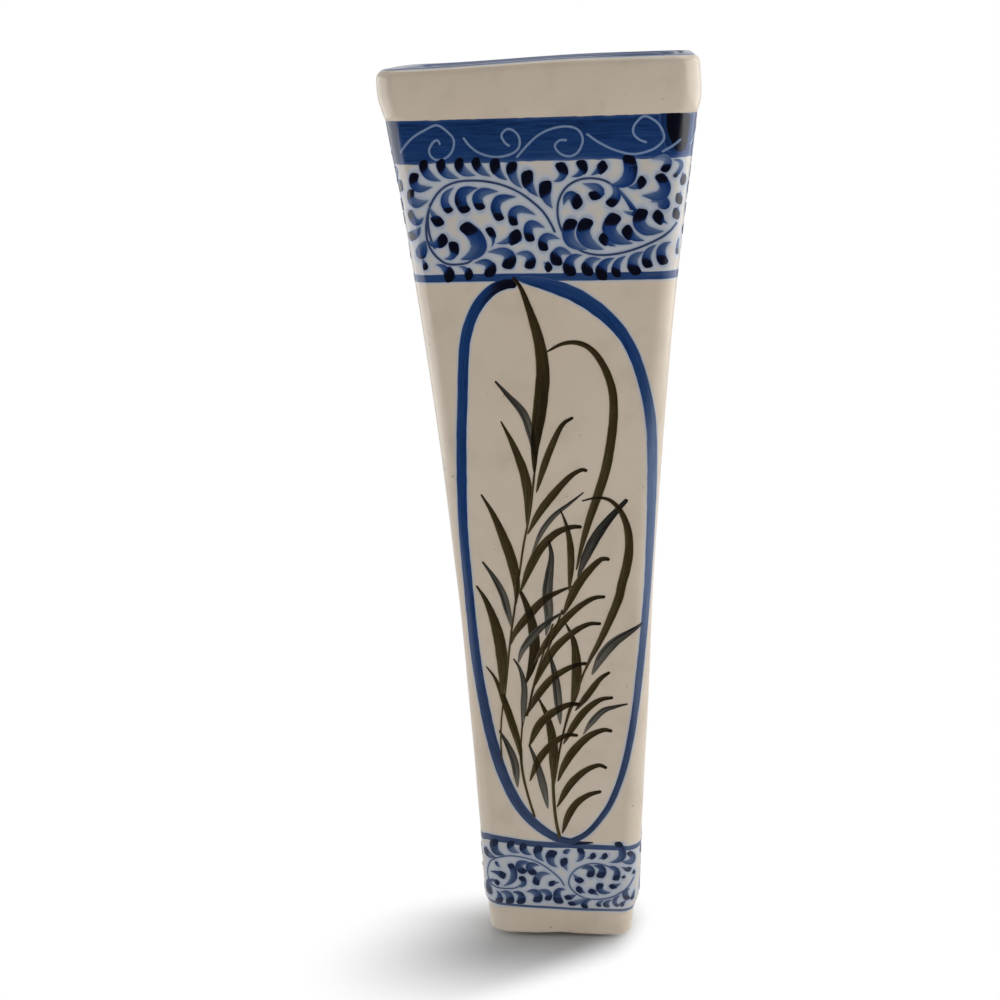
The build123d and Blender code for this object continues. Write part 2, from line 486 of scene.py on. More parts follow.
whiteGlaze = glazeMaterial("whiteGlaze", "cobalt", 0.5)
footGlaze = glazeMaterial("footGlaze", "cobalt", 0.0, (linear(166, 139, 111), linear(185, 162, 136)))
cobaltPaint = glazeMaterial("cobaltPaint", "cobalt", 0.55)
deepCobalt = glazeMaterial("deepCobalt", "cobalt", 0.1)
dustyCobalt = glazeMaterial("dustyCobalt", "dusty", 0.4)
olivePaint = glazeMaterial("olivePaint", "olive", 0.6)
slatePaint = glazeMaterial("slatePaint", "slate", 0.7)
scratchedPaint = glazeMaterial("scratchedPaint", "scratch", 0.5)
ringPaint = glazeMaterial("ringPaint", "cobalt", 0.55, lowPaint="dusty")
blueBleed = glazeMaterial("blueBleed", "bleed")
print("glaze and paint materials ready")


# Four walls: one tube of clay with the hanging hole through its back
hangingHole = {
    "z": 262.0,
    "radius": 4.5,
    "patch": 9.0,  # half of the square of the grid that makes way for it
    "columns": 4,  # columns on each side of the middle that the patch takes
    "edge": [(1.6, 0), (0.7, 0.12), (0.2, 0.5), (0, 1.2)],  # wider by, at this depth
}


def wallRows():
    hole, patch = hangingHole["z"], hangingHole["patch"]
    ends = [wallLow.z, walls["shoulderOver"][0] + 0.5, hole - patch, hole + patch, wallHigh.z + 1.0]
    heights = [wallLow.z]
    for low, high, count in zip(ends, ends[1:], walls["rowCounts"]):
        heights += list(np.linspace(low, high, count + 1)[1:])
    return heights


def buildWalls():
    heights = wallRows()
    thick, insideCorner = walls["thickness"], walls["insideCorner"]

    def outer(z, extra=0.0):
        pts = ring(halfWidth(z), frontAt(z), backY, walls["frontCorner"], walls["backCorner"])
        return dented(pts, z, tuckAt(z) + extra)

    def inner(z):
        pts = ring(halfWidth(z) - thick, frontAt(z) + thick, backY - thick, insideCorner, insideCorner)
        return [(x, y, z) for x, y, nx, ny in pts]

    low = wallLow.z
    rows = [outer(low - 0.1, 1.5), outer(low - 0.1)]  # the lower edge turns in, out of sight
    firstOuter = len(rows)
    rows += [outer(z) for z in heights]
    lastOuter = len(rows)
    rows += [inner(z) for z in reversed(heights)]
    rows.append([(x, y, low - 0.4) for x, y, z in inner(low)])
    verts, faces = loft(rows, True)

    # a square patch of the grid makes way for the hole, outside and inside
    count = len(rows[0])
    backStart = sum(ringCount[part] for part in ("frontHalf", "frontCorner", "side", "backCorner"))
    middle, reach = backStart + ringCount["back"] // 2, hangingHole["columns"]
    columns = list(range(middle - reach, middle + reach + 1))
    hole, patch = hangingHole["z"], hangingHole["patch"] + 0.01
    holeRows = [k for k, z in enumerate(heights) if abs(z - hole) <= patch]
    outRows = [firstOuter + k for k in holeRows]
    inRows = [lastOuter + len(heights) - 1 - k for k in holeRows]
    patches = []
    for lines in (outRows, inRows):
        inside = {row * count + col for row in lines for col in columns}
        faces = [f for f in faces if not set(f) <= inside]
        edge = [lines[0] * count + c for c in columns]
        edge += [row * count + columns[-1] for row in lines[1:]]
        edge += [lines[-1] * count + c for c in columns[-2::-1]]
        edge += [row * count + columns[0] for row in lines[-2:0:-1]]
        patches.append(edge)
    sections = [(extra, backY - depth) for extra, depth in hangingHole["edge"]]
    sections += [(extra, backY - thick + depth) for extra, depth in reversed(hangingHole["edge"])]
    previous = patches[0]
    for extra, y in sections:
        start, r = len(verts), hangingHole["radius"] + extra
        for v in patches[0]:
            x, z = verts[v][0], verts[v][2] - hole
            far = math.hypot(x, z)
            verts.append((x / far * r, y, hole + z / far * r))
        current = list(range(start, len(verts)))
        faces += bridge(previous, current)
        previous = current
    faces += bridge(previous, patches[1])
    return dropLoose(verts, faces)


def bridge(a, b):
    n = len(a)
    return [(a[k], a[(k + 1) % n], b[(k + 1) % n], b[k]) for k in range(n)]


def dropLoose(verts, faces):
    used = sorted({v for f in faces for v in f})
    new = {old: k for k, old in enumerate(used)}
    return [verts[v] for v in used], [tuple(new[v] for v in f) for f in faces]


wallVerts, wallFaces = buildWalls()
wallNodes = ["front_wall", "left_wall", "right_wall", "back_wall"]
addPiece("glazed_walls", wallVerts, wallFaces, whiteGlaze, "white_glaze", wallNodes)

# Rim band: swells out of the walls, then a rounded lip painted blue along its crest
rimBand = {
    "wall": 7.5,
    "ledge": 0.06,
    "swellHeight": 11.0,
    "lipOuter": 3.0,
    "lipInner": 2.4,
    "mouthCorner": 7.0,
    "cornerOver": (2.0, 6.0),  # the corners turn into the mouth's over these insets
    "handOver": (285.0, 297.0),  # heights over which the hand-made drift comes in
    "rightPull": 1.1,  # the right end was pressed in while wet
    "rightOver": (20.0, 48.0),
    "dip": 1.7,  # the lip sags a little towards the left
    "dipOver": (18.0, -42.0),
    "frontDip": 0.25,  # and along the front
    "frontOver": (4.0, -26.0),
    "inkOver": (1.1, 2.1),  # paint comes in over these insets from the outside of the lip
    "inkBelow": (7.0, 5.0),  # and ends this far below the top
    "ink": 0.6,
    "streak": (0.06, 0.06, 0.9),
}


def rimPull(x, y, z):
    # hand-made drift of the rim band away from its regular form
    high = ramp(z, *rimBand["handOver"])
    right = rimBand["rightPull"] * ramp(x, *rimBand["rightOver"])
    sag = rimBand["dip"] * ramp(x, *rimBand["dipOver"])
    sag += rimBand["frontDip"] * ramp(y, *rimBand["frontOver"])
    return x - right * high, y, z - sag * high


def rimProfile(drop, full):
    # (inset, z) from under the band, up its outside, over the lip and down its inside
    base, top, wall = rimLow.z, rimHigh.z, rimBand["wall"]
    profile = [(3.0 + drop, base + 0.1), (0.3 + drop, base + 0.05), (0.04 + drop, base + 0.1)]
    profile += [(drop * (1 - t) ** 2, mixed(base + 0.1, full, t)) for t in np.linspace(0, 1, 9)[1:]]
    r = rimBand["lipOuter"]
    profile += [(r * (1 - c), top - r + r * s) for c, s in quarter(7)]
    r = rimBand["lipInner"]
    profile += [(wall - r + r * c, top - r + r * s) for c, s in reversed(quarter(6))]
    innerBase = rimHigh.x - (wallHigh.x - walls["thickness"])
    for z in np.linspace(top - r - 2, base - 0.6, 6):
        profile.append((mixed(innerBase, wall, (z - base) / (top - base)), z))
    return profile + [(innerBase - 2.0, base - 0.6)]


def buildRim():
    top, full = rimHigh.z, rimLow.z + rimBand["swellHeight"]
    drop = rimHigh.x - (halfWidth(rimLow.z) + rimBand["ledge"])  # how much the swell grows
    rows, ink = [], []
    for inset, z in rimProfile(drop, full):
        # the back is straight: it doesn't swell, and inside it is as thick as the walls
        backIn = min(inset, walls["thickness"]) if inset >= rimBand["wall"] - 0.01 else inset
        if z < full and inset <= drop + 3.1:
            backIn = max(inset - drop, 0)
        roundness = mixed(walls["frontCorner"], rimBand["mouthCorner"], ramp(inset, *rimBand["cornerOver"]))
        pts = ring(rimHigh.x - inset, rimLow.y + inset, backY - backIn, roundness, roundness)
        rows.append([rimPull(x, y, h) for x, y, h in dented(pts, z)])
        covered = ramp(z, *(top - below for below in rimBand["inkBelow"]))
        ink += [rimBand["ink"] * covered * ramp(inset, *rimBand["inkOver"])] * len(pts)
    verts, faces = loft(rows, True)
    brush = np.array(verts) * rimBand["streak"]
    return verts, faces, {"ink": ("FLOAT", ink), "brush": ("FLOAT_VECTOR", brush)}


rimVerts, rimFaces, rimMarks = buildRim()
addPiece("glazed_rim", rimVerts, rimFaces, whiteGlaze, "white_glaze", ["rim_band"], rimMarks, 60)

# Foot slab: tucked in under the walls, with a hand-cut, slightly wavy lower edge
foot = {
    "tuck": 2.5,
    "edgeRound": 2.0,
    "wave": [(-27, 2.2), (-17, 0.9), (-9, 0.7), (0, 1.2), (7, 0.6), (14, 0.5), (27, 0.7)],  # x, lift
    "waveBehind": (16.0, 4.0),  # it runs out between these distances behind the front
    "waveTop": 3.2,
}


def footWave(x, y):
    spots, lifts = zip(*foot["wave"])
    near = ramp(y, *(footLow.y + behind for behind in foot["waveBehind"]))
    return float(np.interp(x, spots, lifts)) * near


def footProfile():
    # (inset, z) from the middle of the underside, up the outside and in over the floor
    top, tuck, r = footHigh.z, foot["tuck"], foot["edgeRound"]
    profile = [(22.0, 0.7), (10.0, 0.6), (5.5, 0.5), (4.8, 0.15), (tuck + r - 0.2, 0.0)]
    profile += [(tuck + r - r * c, r - r * s) for c, s in quarter(5)[-2::-1]]
    spread = tuck - walls["shoulder"]
    for z in np.linspace(r + 0.8, top - 0.1, 12):
        profile.append((tuckAt(z) + 0.03 + spread * (1 - ramp(z, r, r + 7)), z))
    return profile + [(tuckAt(top) + 0.4, top + 0.1), (3.0, top + 0.3), (8.0, top + 0.3), (18.0, top + 0.3)]


def buildFoot():
    bareFrom = foot["tuck"] + foot["edgeRound"] - 0.7
    rows, bare = [], []
    for inset, z in footProfile():
        roundness = max(walls["frontCorner"] - 0.35 * inset, 1.0)
        backIn = inset * 0.5 if z > 0.01 and inset < 4 else inset
        pts = ring(halfWidth(z) - inset, frontAt(z) + inset, backY - backIn, roundness, roundness)
        low = ramp(z, foot["waveTop"], 0)
        rows.append([(x, y, h + footWave(x, y) * low) for x, y, h in dented(pts, z)])
        bare += [1.0 if inset >= bareFrom and z < 1 else 0.0] * len(pts)
    verts, faces = loft(rows, False)
    return verts, faces, {"bare": ("FLOAT", bare)}


footVerts, footFaces, footMarks = buildFoot()
addPiece("glazed_foot", footVerts, footFaces, footGlaze, "white_glaze", ["foot_slab"], footMarks)

# Strips of clay pressed into the inside corners
seams = {"leg": 6.0, "floorLeg": 5.0, "sunk": 0.6, "press": 0.5, "pressSize": 18.0}


def buildCornerSeam(side, front):
    thick, sunk = walls["thickness"], seams["sunk"]
    rows = []
    for z in np.linspace(wallLow.z - 0.3, wallHigh.z + 0.8, 47):
        cx = side * (halfWidth(z) - thick)
        cy = frontAt(z) + thick if front else backY - thick
        inY = 1 if front else -1
        leg = seams["leg"] + seams["press"] * noise.noise(Vector((cx, cy, z)) / seams["pressSize"])
        row = [(cx + side * sunk, cy - inY * sunk, z), (cx - side * leg, cy - inY * sunk, z)]
        row += [(cx - side * leg * (1 - s), cy + inY * leg * (1 - c), z) for c, s in quarter(6)]
        row.append((cx + side * sunk, cy + inY * leg, z))
        rows.append(row if (side > 0) != front else row[::-1])
    return loft(rows, False)


for endName, front in (("front", True), ("back", False)):
    for handName, side in (("left", -1), ("right", 1)):
        node = f"{endName}_{handName}_seam"
        addPiece(node + "_glazed", *buildCornerSeam(side, front), whiteGlaze, "inside_glaze", [node])


def buildFloorSeam():
    floor, thick, leg = wallLow.z, walls["thickness"], seams["floorLeg"]
    half, front, back = footHigh.x - thick, footLow.y + thick, backY - thick
    profile = [(leg, floor - 0.5), (-seams["sunk"], floor - 0.5), (-seams["sunk"], floor + leg)]
    profile += [(leg * (1 - c), floor + leg * (1 - s)) for c, s in quarter(6)]
    rows = []
    for inset, z in profile:
        grow, roundness = halfWidth(z) - footHigh.x, 4 + inset * 0.5
        pts = ring(half - inset + grow, front + inset - grow, back - inset, roundness, roundness)
        rows.append([(x, y, z) for x, y, nx, ny in pts])
    return loft(rows[::-1], True)


addPiece("floor_seam_glazed", *buildFloorSeam(), whiteGlaze, "inside_glaze", ["floor_seam"])

# Brushwork: each stroke is a thin film of paint on the wall, along a smooth line of (s, z, width, ink)
brushwork = {
    "edge": 0.82,  # full paint reaches this far across a stroke
    "columnStep": 0.6,
    "edgeInk": 0.62,  # paint thins at the very edge of a stroke
    "step": 0.55,
    "fineStep": 0.12,  # of the curve that the steps are measured on
    "closest": 0.03,
    "thinnest": 0.05,
    "endShare": 0.05,  # of the width that a rounded end keeps at its tip
    "sunk": 0.3,  # how far a film reaches into the wall
    "shake": 0.06,  # unsteadiness of the edges, as a share of the width
    "shakeLength": 3.0,
    "seedStep": 7.3,
    "streaks": (1.6, 0.12),  # how fast they change across and along a stroke
    "coatCount": 12,  # strokes of a layer before the heights start again
    "levelPoints": 60,
    "settle": (-0.2, 0.65),  # how much lower than drawn the painting lies at the foot and the rim
    "bleed": 0.75,  # how far the blue runs into the glaze beside a stroke
    "bleedInk": 0.1,
    "bleedRise": -9.0,  # how much more of it lies under the stroke than at the rim of the bleed
    "sheet": 12.0,  # width of the strips that tint the ground of the scrolls
}

# How far off the wall a layer of paint starts, and how much further each next stroke lies
coats = {
    "tint": (0.009, 0.0008),
    "bleed": (0.014, 0.0015),
    "band": (0.05, 0.004),
    "blot": (0.065, 0.008),
    "curls": (0.11, 0.004),
    "stems": (0.06, 0.004),
    "leaves": (0.08, 0.004),
    "heads": (0.14, 0.004),
    "lines": (0.055, 0.004),
    "ring": (0.065, 0.004),
    "slate": (0.06, 0.004),
    "olive": (0.09, 0.004),
}


def paintPoint(s, z, lift):
    return wallPoint(s, z - mixed(*brushwork["settle"], heightShare(z)), lift)


def newLayer(kind):
    return {"kind": kind, "verts": [], "faces": [], "ink": [], "brush": [], "strokes": 0}


def curveThrough(rows, step):
    # a smooth curve through the rows, which carry its width and ink along
    rows = np.array(rows, float)
    padded = np.vstack([2 * rows[0] - rows[1], rows, 2 * rows[-1] - rows[-2]])
    out = []
    for k in range(len(rows) - 1):
        a, b, c, d = padded[k : k + 4]
        count = max(2, int(np.linalg.norm(c[:2] - b[:2]) / step))
        for t in np.arange(count) / count:
            bend = (c - a) * t + (2 * a - 5 * b + 4 * c - d) * t**2 + (3 * b - a - 3 * c + d) * t**3
            out.append(b + bend / 2)
    out.append(rows[-1])
    return np.array(out)


def lengthsAlong(line):
    gaps = np.linalg.norm(np.diff(line[:, :2], axis=0), axis=1)
    return np.concatenate([[0], np.cumsum(gaps)])


def headings(line):
    ahead = np.gradient(line[:, :2], axis=0)
    return ahead / np.linalg.norm(ahead, axis=1)[:, None]


def roundEnd(distance, radius):
    if distance >= radius:
        return 1.0
    return max(math.sqrt(1 - (1 - distance / radius) ** 2), brushwork["endShare"])


def sampleStroke(rows, startRound, endRound):
    # even steps along the line, closer together where an end is rounded
    fine = curveThrough(rows, brushwork["fineStep"])
    far = lengthsAlong(fine)
    length = far[-1]
    places = list(np.linspace(0, length, max(4, int(length / brushwork["step"]) + 1)))
    for c, s in quarter(6)[1:-1]:
        places += [startRound * (1 - c), length - endRound * (1 - c)]
    kept = [0.0]
    for p in sorted(places):
        if p - kept[-1] > brushwork["closest"] and p <= length:
            kept.append(p)
    rows = np.array([[np.interp(p, far, fine[:, c]) for c in range(4)] for p in kept])
    for row, p in zip(rows, kept):
        ends = roundEnd(p, startRound) * roundEnd(length - p, endRound)
        row[2] = max(row[2], brushwork["thinnest"]) * ends
    return rows, kept


def addStroke(layer, rows, startRound=0.0, endRound=0.0, lean=0.0, hollow=0.0, skew=0.0, under=None):
    # lean deepens one edge, hollow thins the middle, skew slants it, under deepens it by place
    rows, along = sampleStroke(rows, startRound, endRound)
    ahead = headings(rows)
    layer["strokes"] += 1
    seed = layer["strokes"] * brushwork["seedStep"]
    height, coat = coats[layer["kind"]]
    lift = height + layer["strokes"] % brushwork["coatCount"] * coat
    inside = max(5, int(rows[:, 2].max() / brushwork["columnStep"]))
    columns = [-1.0, *np.linspace(-brushwork["edge"], brushwork["edge"], inside), 1.0]
    streakAcross, streakAlong = brushwork["streaks"]
    first, count, wide = len(layer["verts"]), len(rows), len(columns)
    films = []  # (s, z, ink) of each point, across and then along
    for (s, z, width, ink), (ds, dz), p in zip(rows, ahead, along):
        shake = noise.noise(Vector((p / brushwork["shakeLength"], seed, 0)))
        half = width / 2 * (1 + brushwork["shake"] * shake)
        for c in columns:
            tone = ink * (brushwork["edgeInk"] if abs(c) == 1 else 1.0)
            tone *= (1 + lean * c) * (1 - hollow * (1 - c * c))
            films.append((s + (ds * skew - dz) * c * half, z + (dz * skew + ds) * c * half, tone))
            layer["brush"].append((c * half * streakAcross + seed, p * streakAlong, seed))
    for s, z, tone in films:
        deeper = under(s, z) if under else 0.0
        layer["verts"].append(paintPoint(s, z, lift))
        layer["ink"].append(min(max(tone + deeper, 0.0), 1.0))
    for i in range(count):
        for j in (i * wide, i * wide + wide - 1):
            s, z, tone = films[j]
            layer["verts"].append(paintPoint(s, z, -brushwork["sunk"]))
            layer["ink"].append(layer["ink"][first + j])
            layer["brush"].append(layer["brush"][first + j])
    closeFilm(layer["faces"], first, count, wide)
    return rows


def closeFilm(faces, first, count, wide):
    # top, underside, both edges and both ends of one film
    def top(i, j):
        return first + i * wide + j

    def under(i, k):
        return first + count * wide + i * 2 + k

    last = wide - 1
    for i in range(count - 1):
        for j in range(last):
            faces.append((top(i, j), top(i + 1, j), top(i + 1, j + 1), top(i, j + 1)))
        faces.append((under(i, 0), under(i, 1), under(i + 1, 1), under(i + 1, 0)))
        faces.append((under(i, 0), under(i + 1, 0), top(i + 1, 0), top(i, 0)))
        faces.append((top(i, last), top(i + 1, last), under(i + 1, 1), under(i, 1)))
    end = count - 1
    faces.append((under(0, 0), *(top(0, j) for j in range(wide)), under(0, 1)))
    faces.append((under(end, 1), *(top(end, j) for j in reversed(range(wide))), under(end, 0)))


def finishLayer(layer, name, material, slot="cobalt_paint"):
    marks = {"ink": ("FLOAT", layer["ink"]), "brush": ("FLOAT_VECTOR", layer["brush"])}
    addPiece(name, layer["verts"], layer["faces"], material, slot, (), marks)


def inked(points, width, ink):
    return [(s, z, width, ink) for s, z in points]


def moved(points, by):
    return [(s + by, z) for s, z in points]


def levelLine(z, end):
    return [(s, z) for s in np.linspace(-end, end, brushwork["levelPoints"])]


bleeding = newLayer("bleed")


def paintBlue(layer, rows, *ends):
    # a stroke of cobalt, with its bleed under it
    spread = 2 * brushwork["bleed"]
    wide = [(s, z, width + spread, brushwork["bleedInk"]) for s, z, width, ink in rows]
    addStroke(bleeding, wide, spread / 2, spread / 2, hollow=brushwork["bleedRise"])
    addStroke(layer, rows, *ends)


# Cobalt band under the rim, with curls scratched through the wet paint
cobaltBand = {
    "low": 271.1,
    "high": 283.85,
    "end": 101.0,  # where the brush stopped on each side
    "endRound": 2.0,
    "ink": 0.69,
    "darkTop": 0.08,
    "scratch": 0.65,
    "scratchInk": 0.6,
    "scratchEnd": 0.25,
    "blotEnds": (0.6, 1.4),
    "blot": [(40.6, 283.9, 8.2, 1.0), (40.4, 281, 8.0, 1.0), (40.6, 278, 7.0, 1.0),
             (41, 275, 5.4, 0.97), (41.2, 272.8, 4.0, 0.9)],
    "blotWash": [(39.8, 283.9, 10.0, 0.79), (39.6, 281, 9.8, 0.79), (39.8, 278, 8.8, 0.78),
                 (40.2, 275, 7.4, 0.77), (40.6, 272.8, 5.6, 0.74)],
    "cornerWash": [(-44.6, 283.7, 6.4, 0.8), (-44.7, 279, 6.2, 0.82), (-44.4, 275, 6.0, 0.8),
                   (-44.2, 271.3, 5.6, 0.76)],
    "curls": [
        [(-41.6, 274.6), (-37.7, 278.6), (-33.4, 281.1), (-29.9, 282.3), (-27, 280.4), (-25.2, 277.9),
         (-25.9, 274.6), (-28.4, 272.5), (-31.3, 272.5), (-32.7, 274.6), (-31.6, 277.1), (-30, 278),
         (-29.3, 276.6)],
        [(-22.4, 278.6), (-20.6, 276.1), (-17.7, 273.9), (-13.4, 272.7), (-9.1, 273.2), (-6.3, 275),
         (-5.9, 277.9), (-7.4, 280.1), (-9.5, 280.6), (-11.1, 278.9), (-10.2, 276.8), (-8.8, 275.7)],
        [(-7, 272.3), (-3.4, 276.1), (0.1, 278.9), (4.4, 280.6), (8.7, 280.9), (11.6, 279.6),
         (12.6, 276.8), (11.2, 273.6), (8.7, 272.3), (5.9, 273.2), (4.4, 275.4), (5.9, 277), (8, 277)],
        [(13.7, 278.7), (17.3, 276.1), (21.6, 273.9), (26.6, 272.5), (30.9, 273), (34.4, 274.6),
         (36.2, 277.1), (34.8, 280.7), (31.9, 282.9), (29.8, 283), (27.6, 280.7), (27.3, 278.6),
         (28.7, 276.8), (31.2, 275.7)],
        [(35.5, 272.9), (38.7, 274.6), (41.2, 276.4)],
    ],
    "sideStep": 86.0,  # the sides repeat the front's curls this far along
}


def paintBand():
    low, high, end, endRound = (cobaltBand[k] for k in ("low", "high", "end", "endRound"))
    layer = newLayer("band")
    rows = inked(levelLine((low + high) / 2, end), high - low, cobaltBand["ink"])
    addStroke(layer, rows, endRound, endRound, cobaltBand["darkTop"])
    finishLayer(layer, "cobalt_band", cobaltPaint)
    layer = newLayer("blot")
    for blot in ("cornerWash", "blotWash", "blot"):
        addStroke(layer, cobaltBand[blot], *cobaltBand["blotEnds"])
    finishLayer(layer, "band_blot", deepCobalt)
    layer = newLayer("curls")
    scratchEnd = cobaltBand["scratchEnd"]
    for by in (0, cobaltBand["sideStep"], -cobaltBand["sideStep"]):
        for curl in cobaltBand["curls"]:
            rows = inked(moved(curl, by), cobaltBand["scratch"], cobaltBand["scratchInk"])
            if max(abs(row[0]) for row in rows) < end - endRound:
                addStroke(layer, rows, scratchEnd, scratchEnd)
    finishLayer(layer, "scratched_curls", scratchedPaint)


paintBand()

